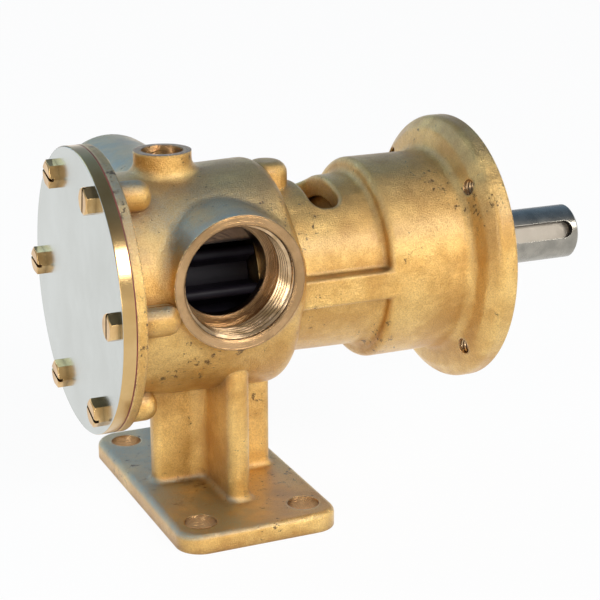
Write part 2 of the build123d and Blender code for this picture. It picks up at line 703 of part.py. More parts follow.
def impeller_insert():
    """Bronze sleeve moulded into the hub, with the keyway that drives it."""
    end = IMPELLER_START + IMPELLER_WIDTH
    sleeve = ring(IMPELLER_START, end, SHAFT_IMPELLER_R + SLIDE_GAP, IMPELLER_INSERT_R)
    slot = Box(IMPELLER_WIDTH * 2, IMPELLER_KEY_WIDTH + 2 * SLIDE_GAP, IMPELLER_KEY_HEIGHT)
    slot_top = SHAFT_IMPELLER_R + 0.45 * IMPELLER_KEY_HEIGHT + SLOT_GAP
    return sleeve - Pos(IMPELLER_START, 0, slot_top - IMPELLER_KEY_HEIGHT / 2) * slot


# Shaft
def shaft():
    """Stepped shaft with a closed drive keyway and the impeller's keyway."""
    chamfer = SHAFT_CHAMFER
    front = REAR_BEARING - BEARING_SPACER
    blank = turned(
        [
            (SHAFT_START, 0, 0),
            (SHAFT_START, SHAFT_IMPELLER_R - chamfer, 0),
            (SHAFT_START + chamfer, SHAFT_IMPELLER_R, 0),
            (SHAFT_SEAL_START, SHAFT_IMPELLER_R, 0),
            (SHAFT_SEAL_START, SHAFT_SEAL_R, 0),
            (SHAFT_BEARING_START - chamfer, SHAFT_SEAL_R, 0),
            (SHAFT_BEARING_START, SHAFT_BEARING_R, 0),
            (front, SHAFT_BEARING_R, 0),
            (front, SHAFT_COLLAR_R, 0),
            (REAR_BEARING, SHAFT_COLLAR_R, 0),
            (REAR_BEARING, SHAFT_BEARING_R, 0),
            (SHAFT_JOURNAL_START, SHAFT_BEARING_R, 0),
            (SHAFT_JOURNAL_START, SHAFT_JOURNAL_R, 0),
            (SHAFT_DRIVE_START, SHAFT_JOURNAL_R, 0),
            (SHAFT_DRIVE_START, SHAFT_DRIVE_R, 0),
            (SHAFT_END - chamfer, SHAFT_DRIVE_R, 0),
            (SHAFT_END, SHAFT_DRIVE_R - chamfer, 0),
            (SHAFT_END, 0, 0),
        ]
    )
    for start in circlip_stations():
        groove_r = SHAFT_BEARING_R - CIRCLIP_BITE
        blank -= ring(start, start + CIRCLIP_THICKNESS + SLOT_GAP, groove_r, SHAFT_COLLAR_R)
    length = DRIVE_KEYWAY_END - DRIVE_KEYWAY_START
    slot = extrude(SlotOverall(length, DRIVE_KEYWAY_WIDTH), SHAFT_DRIVE_R)
    middle = (DRIVE_KEYWAY_START + DRIVE_KEYWAY_END) / 2
    slot = Pos(middle, 0, SHAFT_DRIVE_R - DRIVE_KEYWAY_DEPTH) * slot
    blank -= Rot(90 - DRIVE_KEYWAY_TURN, 0, 0) * slot
    return blank - impeller_key_block(SLIDE_GAP)


def circlip_stations():
    """Front edge of each retaining ring on the shaft, one outside each bearing."""
    return (FRONT_BEARING - CIRCLIP_THICKNESS - SLOT_GAP, REAR_BEARING_END)


def retaining_ring(start, thickness, inner_r, outer_r, ear_r):
    """Open spring ring with two pierced ears, lying across the shaft line."""
    band = Circle(outer_r) - Circle(inner_r)
    reach = CIRCLIP_EAR_R * 0.83
    places = [Pos(side * (CIRCLIP_GAP / 2 + reach), ear_r) for side in (-1, 1)]
    ears = places[0] * Circle(CIRCLIP_EAR_R) + places[1] * Circle(CIRCLIP_EAR_R)
    ears &= Circle(outer_r + reach) - Circle(inner_r - reach)
    band -= Pos(0, ear_r) * Rectangle(CIRCLIP_GAP, 2 * CIRCLIP_WALL)
    band += ears
    band -= [place * Circle(CIRCLIP_EAR_HOLE_R) for place in places]
    return Pos(start, 0, 0) * extrude(Plane.YZ * band, thickness)


def shaft_circlips():
    """Two retaining rings that hold the inner rings of the bearings on the shaft."""
    inner_r = SHAFT_BEARING_R - CIRCLIP_BITE + SLIDE_GAP
    outer_r = inner_r + CIRCLIP_WALL / 1.4
    return [
        retaining_ring(
            start + SLOT_GAP / 2, CIRCLIP_THICKNESS, inner_r, outer_r, outer_r + CIRCLIP_EAR_DROP
        )
        for start in circlip_stations()
    ]


def housing_circlip():
    """Retaining ring that holds the outer ring of the rear bearing in the housing."""
    outer_r = BEARING_OUTER_R + CIRCLIP_GROOVE_DEPTH - SLIDE_GAP
    inner_r = outer_r - CIRCLIP_WALL
    start = REAR_BEARING_END + SLOT_GAP / 2
    ear_r = inner_r - CIRCLIP_EAR_DROP
    return retaining_ring(start, HOUSING_CIRCLIP_THICKNESS, inner_r, outer_r, ear_r)


# Mechanical seal, slinger and oil seals
def seal_seat():
    """Ceramic ring that stands still in the casting."""
    return ring(SEAL_SEAT_START, SEAL_SEAT_END - 1.5, SEAL_SEAT_BORE_R, SEAL_RING_R)


def seal_cup():
    """Rubber cup that holds the ceramic ring in its seat."""
    start, end = SEAL_SEAT_START + 0.5, SEAL_SEAT_END
    return turned(
        [
            (start, SEAL_RING_R, 0),
            (start, SEAL_SEAT_R, 0),
            (end, SEAL_SEAT_R, 0),
            (end, SHAFT_PASSAGE_R, 0),
            (end - 1.5, SHAFT_PASSAGE_R, 0),
            (end - 1.5, SEAL_RING_R, 0),
        ]
    )


def carbon_start():
    """Station where the carbon ring begins."""
    return SEAL_SEAT_START - RUN_GAP - CARBON_LENGTH


def seal_face_ring():
    """Carbon ring that turns with the shaft and runs on the ceramic ring."""
    end = SEAL_SEAT_START - RUN_GAP
    return turned(
        [
            (carbon_start(), SEAL_SEAT_BORE_R, 0),
            (carbon_start(), SEAL_RING_R, 0),
            (end - 1.5, SEAL_RING_R, 0),
            (end - 1.5, SEAL_RING_R - 1, 0),
            (end, SEAL_RING_R - 1, 0),
            (end, SEAL_SEAT_BORE_R + 0.6, 0),
        ]
    )


def seal_bellows():
    """Rubber bellows that grips the shaft and carries the carbon ring, with one fold."""
    end = carbon_start()
    start = end - BELLOWS_LENGTH
    inner, outer = SHAFT_SEAL_R, BELLOWS_R
    return turned(
        [
            (start, inner, 0),
            (start, outer + 2.6, 0),
            (start + 1.2, outer + 2.6, 0),
            (start + 1.2, inner + 1.6, 0),
            (start + 4.2, inner + 1.6, 0),
            (start + 5.2, outer, 0),
            (end, outer, 0),
            (end, inner + 1.6, 0),
            (start + 5.8, inner, 0),
        ]
    )


def seal_spring():
    """Coil spring that presses the carbon ring on the seat."""
    room = BELLOWS_LENGTH - 1.2 - 2 * SPRING_WIRE_R - 2 * SLOT_GAP
    path = Helix(room / SPRING_TURNS, room, SPRING_R)
    wire = sweep(Plane(path @ 0, z_dir=path % 0) * Circle(SPRING_WIRE_R), path)
    start = carbon_start() - BELLOWS_LENGTH + 1.2 + SPRING_WIRE_R + SLOT_GAP
    return Pos(start, 0, 0) * Rot(0, 90, 0) * wire


def slinger():
    """Rubber disc on the shaft that throws leaked water out of the drain openings."""
    middle = SLINGER_STATION
    return turned(
        [
            (middle - SLINGER_WIDTH, SHAFT_SEAL_R, 0),
            (middle - SLINGER_WIDTH, SHAFT_SEAL_R + 3, 0),
            (middle - SLINGER_WIDTH / 2, SHAFT_SEAL_R + 4, 0),
            (middle - SLINGER_WIDTH / 4, SLINGER_R, 0),
            (middle + SLINGER_WIDTH / 4, SLINGER_R, 0),
            (middle + SLINGER_WIDTH / 2, SHAFT_SEAL_R + 4, 0),
            (middle + SLINGER_WIDTH, SHAFT_SEAL_R + 3, 0),
            (middle + SLINGER_WIDTH, SHAFT_SEAL_R, 0),
        ]
    )


def oil_seal(start, width, inner_r, outer_r):
    """Lip seal: a shell pressed in its bore, a web and a lip that runs on the shaft."""
    lip = inner_r + RUN_GAP
    return turned(
        [
            (start, lip + 1.2, 0),
            (start, outer_r, 0),
            (start + width, outer_r, 0),
            (start + width, outer_r - 1.6, 0),
            (start + 1.8, outer_r - 1.6, 0),
            (start + 1.8, lip + 2.4, 0),
            (start + width - 1.2, lip + 2.0, 0),
            (start + width - 2.2, lip, 0),
        ]
    )


# Bearings
def bearing_outer_ring(start):
    """Outer ring with its ball groove."""
    blank = ring(start, start + BEARING_WIDTH, BEARING_OUTER_RACE_R, BEARING_OUTER_R)
    return blank - ball_groove(start)


def bearing_inner_ring(start):
    """Inner ring with its ball groove."""
    blank = ring(start, start + BEARING_WIDTH, SHAFT_BEARING_R, BEARING_INNER_RACE_R)
    return blank - ball_groove(start)


def ball_groove(start):
    """Torus that both grooves of one bearing are cut with."""
    return Pos(start + BEARING_WIDTH / 2, 0, 0) * Rot(0, 90, 0) * Torus(BALL_PITCH_R, GROOVE_R)


def ball_spots(start):
    """Places of the balls of one bearing."""
    middle = Pos(start + BEARING_WIDTH / 2, 0, 0)
    return [middle * around(BALL_PITCH_R, 360 * i / BALL_COUNT) for i in range(BALL_COUNT)]


def bearing_balls(start):
    """Steel balls of one bearing."""
    return [spot * Sphere(BALL_R) for spot in ball_spots(start)]


def bearing_cage(start):
    """Brass cage of one bearing, a band with a round pocket for each ball."""
    middle = start + BEARING_WIDTH / 2
    low, high = BALL_PITCH_R - CAGE_HALF_WALL, BALL_PITCH_R + CAGE_HALF_WALL
    band = ring(middle - CAGE_WIDTH / 2, middle + CAGE_WIDTH / 2, low, high)
    pocket = Cylinder(BALL_R + POCKET_GAP, 4 * CAGE_HALF_WALL)
    for i in range(BALL_COUNT):
        angle = 360 * i / BALL_COUNT
        place = Pos(middle, 0, 0) * around(BALL_PITCH_R, angle)
        band -= place * Rot(90 - angle, 0, 0) * pocket
    return band


def bearing_spacer():
    """Ring between the two outer rings."""
    start = FRONT_BEARING + BEARING_WIDTH
    return ring(start, REAR_BEARING, BEARING_OUTER_R - SPACER_WALL, BEARING_OUTER_R)


def parts():
    """Every piece under the name of its node."""
    oil_start = HOUSING_CIRCLIP_END
    return {
        "pump_casting": casting(),
        "cover_plate": cover_plate(),
        "cover_gasket": cover_gasket(),
        "cover_screws": cover_screws(),
        "cam": cam(),
        "cam_screw": cam_screw(),
        "cam_screw_washer": cam_screw_washer(),
        "wear_plate": wear_plate(),
        "wear_plate_pin": wear_plate_pin(),
        "impeller_rubber": impeller_rubber(),
        "impeller_insert": impeller_insert(),
        "impeller_key": impeller_key_block(0),
        "shaft": shaft(),
        "seal_seat": seal_seat(),
        "seal_cup": seal_cup(),
        "seal_face_ring": seal_face_ring(),
        "seal_bellows": seal_bellows(),
        "seal_spring": seal_spring(),
        "slinger": slinger(),
        "inner_oil_seal": oil_seal(OIL_SEAL_START, OIL_SEAL_WIDTH, SHAFT_BEARING_R, OIL_SEAL_R),
        "outer_oil_seal": oil_seal(
            oil_start, DRIVE_FLANGE_BACK - oil_start, SHAFT_JOURNAL_R, BEARING_OUTER_R
        ),
        "front_bearing_outer_ring": bearing_outer_ring(FRONT_BEARING),
        "front_bearing_inner_ring": bearing_inner_ring(FRONT_BEARING),
        "front_bearing_balls": bearing_balls(FRONT_BEARING),
        "front_bearing_cage": bearing_cage(FRONT_BEARING),
        "rear_bearing_outer_ring": bearing_outer_ring(REAR_BEARING),
        "rear_bearing_inner_ring": bearing_inner_ring(REAR_BEARING),
        "rear_bearing_balls": bearing_balls(REAR_BEARING),
        "rear_bearing_cage": bearing_cage(REAR_BEARING),
        "bearing_spacer": bearing_spacer(),
        "shaft_circlips": shaft_circlips(),
        "housing_circlip": housing_circlip(),
    }


def main():
    """Move every piece to the foot's frame and write it."""
    os.makedirs("parts", exist_ok=True)
    home = Pos(-FOOT_STATION, 0, AXIS_HEIGHT)
    for name, shape in parts().items():
        solids = shape if isinstance(shape, list) else [shape]
        placed = [home * solid for solid in solids]
        export_step(placed[0] if len(placed) == 1 else Compound(placed), f"parts/{name}.step")
        print(name, round(sum(p.volume for p in placed)))


main()
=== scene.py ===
# %% [markdown]
# # A bronze impeller pump
# The pump is a tumbled bronze casting with a flat end cover, two threaded ports, a bearing housing
# and a bare steel shaft. The solids of its pieces are already built and packed to size, so this
# lesson is about what makes them look like metal that was cast, turned, ground and handled.
# Everything is in metres. X runs along the shaft to the drive end, -Y is the near side, Z is up.

from math import cos, pi, radians, sin

import bpy
import numpy as np
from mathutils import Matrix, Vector


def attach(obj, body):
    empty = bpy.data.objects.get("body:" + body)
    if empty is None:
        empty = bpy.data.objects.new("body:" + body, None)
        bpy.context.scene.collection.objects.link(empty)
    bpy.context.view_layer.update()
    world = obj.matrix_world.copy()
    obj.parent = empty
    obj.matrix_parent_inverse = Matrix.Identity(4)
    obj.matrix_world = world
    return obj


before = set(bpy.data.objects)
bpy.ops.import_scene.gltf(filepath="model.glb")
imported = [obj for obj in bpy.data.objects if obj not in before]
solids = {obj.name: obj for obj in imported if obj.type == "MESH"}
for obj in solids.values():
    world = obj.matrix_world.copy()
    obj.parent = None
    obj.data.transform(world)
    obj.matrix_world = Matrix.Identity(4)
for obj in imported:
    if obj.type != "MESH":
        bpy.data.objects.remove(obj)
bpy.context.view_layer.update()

# %% [markdown]
# ## The view
# The photograph was taken from slightly above, with a long lens that keeps the round faces nearly
# free of perspective. The camera could be placed by eye, but then every edge is a little off. Here
# its place, turn and focal length come from a fit over edges and holes of the photograph. Colours
# go out through the Standard view transform, which shows a colour as it was computed.

# %% Camera at the photograph's angle
scene = bpy.context.scene
scene.view_settings.view_transform = "Standard"

camera = bpy.data.cameras.new("camera")
camera.lens = 101.8
camera.sensor_width = 36
camera.clip_start = 0.01
camera_object = bpy.data.objects.new("camera", camera)
camera_object.location = (-0.2503, -0.6596, 0.3106)
camera_object.rotation_euler = (radians(72.5), 0, radians(-24.04))
scene.collection.objects.link(camera_object)
scene.camera = camera_object
print("camera", tuple(camera_object.location))

# %% [markdown]
# ## Short words for node trees
# The room and every finish are trees of nodes. Written out, each node takes four or five lines, and
# the idea gets lost between them. These helpers add one node each and return its result, so that a
# tree reads like a sum.


# %% Helpers that add one node each
def fill(tree, node, sockets):
    """Set inputs by name or number. A socket is linked, anything else is taken as a value."""
    for key, value in sockets.items():
        if isinstance(value, bpy.types.NodeSocket):
            tree.links.new(value, node.inputs[key])
        else:
            node.inputs[key].default_value = value
    return node


def add_node(tree, kind, sockets=None, **settings):
    """A new node of that kind with its settings and its inputs."""
    node = tree.nodes.new(kind)
    for key, value in settings.items():
        setattr(node, key, value)
    return fill(tree, node, sockets or {})


def calc(tree, operation, a, b=0.0):
    """One math node's result."""
    return add_node(tree, "ShaderNodeMath", {0: a, 1: b}, operation=operation).outputs[0]


def between(tree, value, low, high, to_low=0.0, to_high=1.0):
    """value mapped from low..high to to_low..to_high, held at both ends."""
    sockets = {0: value, 1: low, 2: high, 3: to_low, 4: to_high}
    return add_node(tree, "ShaderNodeMapRange", sockets).outputs[0]


def mix_colour(tree, factor, a, b):
    """a where factor is 0, b where it is 1, both colours."""
    return add_node(tree, "ShaderNodeMix", {0: factor, 6: a, 7: b}, data_type="RGBA").outputs[2]


def mix_value(tree, factor, a, b):
    """a where factor is 0, b where it is 1, both numbers."""
    return add_node(tree, "ShaderNodeMix", {0: factor, 2: a, 3: b}).outputs[0]


# %% [markdown]
# ## The room that the metal reflects
# Bare metal shows mostly what is around it, so the room matters more than the lamps. The
# photographed metal mirrors white paper low down and a cool blue-grey room above and behind. A
# panorama picture could give such a room. Two colour scales do it with a dozen colours that can be
# tuned one by one: one for the wall behind, one for the open side in front. Both run from the
# floor up, and the direction's Y mixes them. The camera itself sees plain white.

# %% Colour scales from below the floor line (0) to straight up (1)
WHITE = (1, 1, 1, 1)
WALL = [
    (0.0, (1.0, 1.0, 1.0, 1)),
    (0.17, (1.0, 1.0, 1.0, 1)),
    (0.24, (0.55, 0.6, 0.66, 1)),
    (0.4, (0.3, 0.38, 0.48, 1)),
    (0.65, (0.2, 0.32, 0.48, 1)),
    (0.9, (0.14, 0.19, 0.26, 1)),
    (1.0, (0.14, 0.17, 0.22, 1)),
]
OPEN_SIDE = [
    (0.0, (1.0, 1.0, 1.0, 1)),
    (0.2, (1.0, 0.98, 0.95, 1)),
    (0.36, (0.6, 0.58, 0.55, 1)),
    (0.75, (0.26, 0.25, 0.24, 1)),
    (1.0, (0.14, 0.17, 0.22, 1)),
]
SCALE_START_Z = -0.2
OPEN_FROM_Y, OPEN_IN_FULL_Y = 0.0, -0.45


# %% Build the room
def ramp(tree, source, stops):
    """A colour scale over source. stops are (position, colour with alpha)."""
    node = add_node(tree, "ShaderNodeValToRGB", {0: source})
    elements = node.color_ramp.elements
    while len(elements) < len(stops):
        elements.new(1.0)
    for element, (position, colour) in zip(elements, stops):
        element.position = position
        element.color = colour
    return node.outputs[0]


def seen_by(tree, first, second):
    """1 for the two kinds of ray that are named, 0 for all others."""
    path = add_node(tree, "ShaderNodeLightPath")
    return calc(tree, "MAXIMUM", path.outputs[first], path.outputs[second])


def build_world():
    """Room colour = wall scale mixed with open-side scale by how far a direction looks to -Y."""
    world = bpy.data.worlds.new("studio")
    scene.world = world
    world.use_nodes = True
    tree = world.node_tree
    tree.nodes.clear()
    coordinates = add_node(tree, "ShaderNodeTexCoord").outputs["Generated"]
    direction = add_node(tree, "ShaderNodeSeparateXYZ", {0: coordinates})
    height = between(tree, direction.outputs["Z"], SCALE_START_Z, 1.0)
    front = between(tree, direction.outputs["Y"], OPEN_FROM_Y, OPEN_IN_FULL_Y)
    room = mix_colour(tree, front, ramp(tree, height, WALL), ramp(tree, height, OPEN_SIDE))
    light = add_node(tree, "ShaderNodeBackground", {0: room, 1: 1.0}).outputs[0]
    shown = add_node(tree, "ShaderNodeBackground", {0: WHITE, 1: 1.0}).outputs[0]
    seen = seen_by(tree, "Is Camera Ray", "Is Transmission Ray")
    mixed = add_node(tree, "ShaderNodeMixShader", {0: seen, 1: light, 2: shown})
    add_node(tree, "ShaderNodeOutputWorld", {0: mixed.outputs[0]})
    print("room colours", len(WALL) + len(OPEN_SIDE))


build_world()

# %% [markdown]
# ## Soft lamps
# Three softboxes draw the highlights. A broad one high in front makes the bright bands along the
# barrel and the housing, a narrow one on the left lights the cover's side, and a weak blue one
# behind gives the upper edges the cool glint of a window. Area lamps are used, because their size
# sets how soft a highlight ends.

# %% Name, place, width, height, watts and colour of each lamp
LAMPS = [
    ("front_window", (0.75, -1.65, 1.3), 1.5, 0.65, 34, (1.0, 0.98, 0.95)),
    ("left_window", (-1.7, -1.5, 0.45), 0.35, 1.2, 13, (1.0, 1.0, 1.0)),
    ("sky_window", (-0.9, 1.5, 1.4), 1.4, 1.0, 9, (0.5, 0.76, 1.0)),
]
LAMP_TARGET = (0.04, 0.0, 0.09)


# %% Hang the lamps
def soft_lamp(name, place, width, height, power, colour):
    """A rectangular softbox at place that faces the middle of the pump."""
    lamp = bpy.data.lights.new(name, "AREA")
    lamp.shape = "RECTANGLE"
    lamp.size = width
    lamp.size_y = height
    lamp.energy = power
    lamp.color = colour
    holder = bpy.data.objects.new(name, lamp)
    holder.location = place
    aim = Vector(LAMP_TARGET) - Vector(place)
    holder.rotation_euler = aim.to_track_quat("-Z", "Y").to_euler()
    scene.collection.objects.link(holder)
    print(name, power, "W")


for lamp_row in LAMPS:
    soft_lamp(*lamp_row)

# %% [markdown]
# ## Pale floor
# The photograph's background is cut out to pure white. A floor that is only white paint goes grey
# towards the back, and no floor at all leaves the pump without a shadow. So the floor mixes two
# things: for the camera and for reflections it is nearly all white light, and for every other ray
# it is pale paper. The small share of paper that the camera still sees keeps the shadow.

# %% Floor measures
FLOOR_HALF = 6.0
PAPER = (0.9, 0.9, 0.89, 1)
WHITE_SHARE = 0.95


# %% Build the floor
def build_floor():
    """A square plane at z = 0, the underside of the foot."""
    ends = (-FLOOR_HALF, FLOOR_HALF)
    corners = [(ends[0], ends[0], 0), (ends[1], ends[0], 0), (ends[1], ends[1], 0), (ends[0], ends[1], 0)]
    mesh = bpy.data.meshes.new("floor")
    mesh.from_pydata(corners, [], [(0, 1, 2, 3)])
    floor = bpy.data.objects.new("floor", mesh)
    scene.collection.objects.link(floor)
    material = bpy.data.materials.new("floor_paper")
    material.use_nodes = True
    tree = material.node_tree
    tree.nodes.clear()
    paper = add_node(tree, "ShaderNodeBsdfDiffuse", {0: PAPER}).outputs[0]
    white = add_node(tree, "ShaderNodeEmission", {0: WHITE, 1: 1.0}).outputs[0]
    seen = seen_by(tree, "Is Camera Ray", "Is Glossy Ray")
    share = calc(tree, "MULTIPLY", seen, WHITE_SHARE)
    mixed = add_node(tree, "ShaderNodeMixShader", {0: share, 1: paper, 2: white})
    add_node(tree, "ShaderNodeOutputMaterial", {0: mixed.outputs[0]})
    mesh.materials.append(material)
    print("floor", FLOOR_HALF * 2, "m wide")


build_floor()

# %% [markdown]
# ## Effects that several finishes share
# Worn edges with painted highlight, recesses with painted shade, sand grain, tool marks and the places
# where a tool has cut come back in one finish after another. Copying their nodes into each material
# would work, but a mend would then have to be made in every copy. Each effect is a node group with
# named sockets instead: it is built once and placed with a material's own values. A group only gives
# out masks, values and normals. The shader itself stays in the material.

# %% Start a group and place a group
FLOAT, VECTOR = "NodeSocketFloat", "NodeSocketVector"
MM = 0.001


def start_group(name, inputs, outputs):
    """An empty node group. inputs are (name, kind, value), outputs are (name, kind)."""
    tree = bpy.data.node_groups.new(name, "ShaderNodeTree")
    for title, kind, value in inputs:
        socket = tree.interface.new_socket(title, in_out="INPUT", socket_type=kind)
        if value is not None:
            socket.default_value = value
    for title, kind in outputs:
        tree.interface.new_socket(title, in_out="OUTPUT", socket_type=kind)
    return tree, tree.nodes.new("NodeGroupInput").outputs, tree.nodes.new("NodeGroupOutput")


def use_group(tree, group, sockets):
    """The outputs of a group that is placed in a material, with its inputs filled in."""
    node = tree.nodes.new("ShaderNodeGroup")
    node.node_tree = group
    return fill(tree, node, sockets).outputs


def noise(tree, vector, scale, detail, roughness=0.5):
    """A noise between 0 and 1. scale counts its lumps per metre."""
    sockets = {"Vector": vector, "Scale": scale, "Detail": detail, "Roughness": roughness}
    return add_node(tree, "ShaderNodeTexNoise", sockets).outputs["Fac"]


def dot(tree, a, b):
    """The dot product of two vectors."""
    node = add_node(tree, "ShaderNodeVectorMath", {0: a, 1: b}, operation="DOT_PRODUCT")
    return node.outputs["Value"]


# %% [markdown]
# ## Worn edges, painted highlights and shaded recesses
# Handling rubs the edges of a pump bright, and oil and dust stay in its corners. Both could be
# painted by hand. The same masks also carry a painted highlight on edges and painted shade in
# corners. A bevel node finds edges by itself: it gives the normal that a rounded edge would have, and
# where that differs from the true normal, an edge is near. Ambient occlusion finds corners the same
# way, as places from which little of the room is seen.

# %% Numbers of the edge group
SLIGHT_TURN, FULL_TURN = 0.995, 0.8  # cosines of 6 and 37 degrees
SHUT_EDGE, OPEN_EDGE = 0.35, 0.8  # an edge inside a corner is not rubbed
OPEN_POINT, HIDDEN_POINT = 0.86, 0.38


# %% Edge group
def edges_group():
    """Edge: how far the surface turns within Radius. Recess: how hidden a point is within Reach."""
    tree, given, result = start_group(
        "edges_and_recesses",
        [("Radius", FLOAT, 1.2 * MM), ("Reach", FLOAT, 8 * MM)],
        [("Edge", FLOAT), ("Recess", FLOAT), ("Normal", VECTOR)],
    )
    rounded = add_node(tree, "ShaderNodeBevel", {0: given["Radius"]}, samples=4).outputs[0]
    surface = add_node(tree, "ShaderNodeNewGeometry").outputs["Normal"]
    turn = between(tree, dot(tree, rounded, surface), SLIGHT_TURN, FULL_TURN)
    hidden = add_node(tree, "ShaderNodeAmbientOcclusion", {"Distance": given["Reach"]}, samples=6)
    open_share = hidden.outputs["AO"]
    edge = calc(tree, "MULTIPLY", turn, between(tree, open_share, SHUT_EDGE, OPEN_EDGE))
    recess = between(tree, open_share, OPEN_POINT, HIDDEN_POINT)
    fill(tree, result, {"Edge": edge, "Recess": recess, "Normal": rounded})
    return tree


edges_and_recesses = edges_group()
print("group", edges_and_recesses.name)

# %% [markdown]
# ## The skin of a tumbled casting
# Sand leaves a fine grain and slow waves on a casting, and gas leaves small pits that sit in
# clusters. Round cells from a Voronoi texture give pits that look like dots from a printer. A noise
# that is cut off at a high level gives crooked ones, and a second, slow noise moves that level, so
# that they gather in some places and stay away from others.

# %% Numbers of the cast skin
GRAIN_HEIGHT, WAVE_HEIGHT, PIT_DEPTH = 1.1, 2.1, 0.7
WAVE_SCALE, PATCH_SCALE, CLUSTER_SCALE = 110.0, 45.0, 26.0
CLUSTER_STARTS, CLUSTER_FULL = 0.44, 0.64
LEVEL_OUTSIDE, LEVEL_INSIDE = 0.7, 0.575  # what the pit noise has to pass
PIT_WALL = 0.025
TONE_LEVELS = 0.4, 0.62
SPECK_LEVELS = 0.42, 0.6


# %% Cast skin group
def cast_group():
    """Height = grain + waves - pits. Pits: 1 where noise passes a level that clusters lower.

    Tone changes slowly over the surface, Speck with the grain. Both are meant for colour.
    """
    tree, given, result = start_group(
        "cast_skin",
        [("Vector", VECTOR, None), ("Grain", FLOAT, 1700.0), ("Pit size", FLOAT, 330.0)],
        [("Height", FLOAT), ("Pits", FLOAT), ("Tone", FLOAT), ("Speck", FLOAT)],
    )
    place = given["Vector"]
    grain = noise(tree, place, given["Grain"], 3.0, 0.65)
    waves = noise(tree, place, WAVE_SCALE, 2.0)
    patches = noise(tree, place, PATCH_SCALE, 5.0, 0.65)
    blots = noise(tree, place, given["Pit size"], 5.0, 0.7)
    clusters = noise(tree, place, CLUSTER_SCALE, 3.0)
    level = between(tree, clusters, CLUSTER_STARTS, CLUSTER_FULL, LEVEL_OUTSIDE, LEVEL_INSIDE)
    pit = between(tree, calc(tree, "SUBTRACT", blots, level), 0.0, PIT_WALL)
    raised = calc(tree, "MULTIPLY", grain, GRAIN_HEIGHT)
    raised = calc(tree, "ADD", raised, calc(tree, "MULTIPLY", waves, WAVE_HEIGHT))
    height = calc(tree, "SUBTRACT", raised, calc(tree, "MULTIPLY", pit, PIT_DEPTH))
    tone = between(tree, patches, *TONE_LEVELS)
    speck = between(tree, grain, *SPECK_LEVELS)
    fill(tree, result, {"Height": height, "Pits": pit, "Tone": tone, "Speck": speck})
    return tree


cast_skin = cast_group()
print("group", cast_skin.name)

# %% [markdown]
# ## Where a bore or a face was cut
# Ports, holes and the two end faces were machined after casting, so they are smoother and have
# another colour. Separate materials per face would need faces that the solids don't name. A
# cylinder in space is enough: all metal inside it belongs to the cut, and a thin wide cylinder
# stands for a face.


# %% Bore group
def bore_group():
    """Mask = 1 where the radius is below Radius and Low < t < High, in Centre + t * Along.

    Across is 1 on the two axes that the radius is measured on. Travel is radius + t, which grows
    along a wall and across a face, so that turning marks can follow it. Depth is t.
    """
    tree, given, result = start_group(
        "inside_bore",
        [
            ("Vector", VECTOR, None),
            ("Centre", VECTOR, (0, 0, 0)),
            ("Along", VECTOR, (0, 1, 0)),
            ("Across", VECTOR, (1, 0, 1)),
            ("Radius", FLOAT, 10 * MM),
            ("Low", FLOAT, 0.0),
            ("High", FLOAT, 10 * MM),
        ],
        [("Mask", FLOAT), ("Travel", FLOAT), ("Depth", FLOAT)],
    )
    sockets = {0: given["Vector"], 1: given["Centre"]}
    offset = add_node(tree, "ShaderNodeVectorMath", sockets, operation="SUBTRACT").outputs[0]
    sockets = {0: offset, 1: given["Across"]}
    flat = add_node(tree, "ShaderNodeVectorMath", sockets, operation="MULTIPLY").outputs[0]
    length = add_node(tree, "ShaderNodeVectorMath", {0: flat}, operation="LENGTH")
    distance = length.outputs["Value"]
    along = dot(tree, offset, given["Along"])
    near = calc(tree, "LESS_THAN", distance, given["Radius"])
    above = calc(tree, "GREATER_THAN", along, given["Low"])
    below = calc(tree, "LESS_THAN", along, given["High"])
    mask = calc(tree, "MULTIPLY", near, calc(tree, "MULTIPLY", above, below))
    travel = calc(tree, "ADD", distance, along)
    fill(tree, result, {"Mask": mask, "Travel": travel, "Depth": along})
    return tree


inside_bore = bore_group()

# Each direction goes with the two axes that a radius is measured on.
TO_NEAR_SIDE = ((0, -1, 0), (1, 0, 1))
TO_FAR_SIDE = ((0, 1, 0), (1, 0, 1))
TO_DRIVE_END = ((1, 0, 0), (0, 1, 1))
UPWARD = ((0, 0, 1), (1, 1, 0))


def bore(tree, place, centre, direction, radius, low, high):
    """The bore group placed round one line."""
    along, across = direction
    sockets = {"Vector": place, "Centre": centre, "Along": along, "Across": across}
    sockets.update({"Radius": radius, "Low": low, "High": high})
    return use_group(tree, inside_bore, sockets)


print("group", inside_bore.name)

# %% [markdown]
# ## Fine turning marks
# A lathe tool leaves a fine spiral. From outside it reads as rings at an even spacing, never
# perfect. A sine along the tool's travel gives the spacing. A slow noise shifts it a little, and a
# stretched noise adds rings of uneven strength.

# %% Numbers of the turning marks
WOBBLE_SCALE = 300.0
WAVE_SHARE = 0.25


# %% Turning marks group
def turning_group():
    """Height = uneven lines + a share of sin(2 pi (Travel / Spacing + wobble))."""
    tree, given, result = start_group(
        "turning_marks",
        [("Travel", FLOAT, 0.0), ("Spacing", FLOAT, 0.5 * MM), ("Vector", VECTOR, None)],
        [("Height", FLOAT)],
    )
    step = calc(tree, "DIVIDE", given["Travel"], given["Spacing"])
    wobble = noise(tree, given["Vector"], WOBBLE_SCALE, 2.0)
    phase = calc(tree, "MULTIPLY", calc(tree, "ADD", step, wobble), 2 * pi)
    wave = calc(tree, "MULTIPLY", calc(tree, "SINE", phase), WAVE_SHARE)
    sockets = {"W": step, "Scale": 0.7, "Detail": 3.0}
    lines = add_node(tree, "ShaderNodeTexNoise", sockets, noise_dimensions="1D").outputs["Fac"]
    fill(tree, result, {"Height": calc(tree, "ADD", wave, lines)})
    return tree


turning_marks = turning_group()
print("group", turning_marks.name)

# %% [markdown]
# ## Starting and placing a material
# Every finish is one Principled shader. Plain values are set on the shader itself, and only what
# varies over the surface gets nodes. Patterns read Object coordinates, so they stick to a piece
# when it moves.


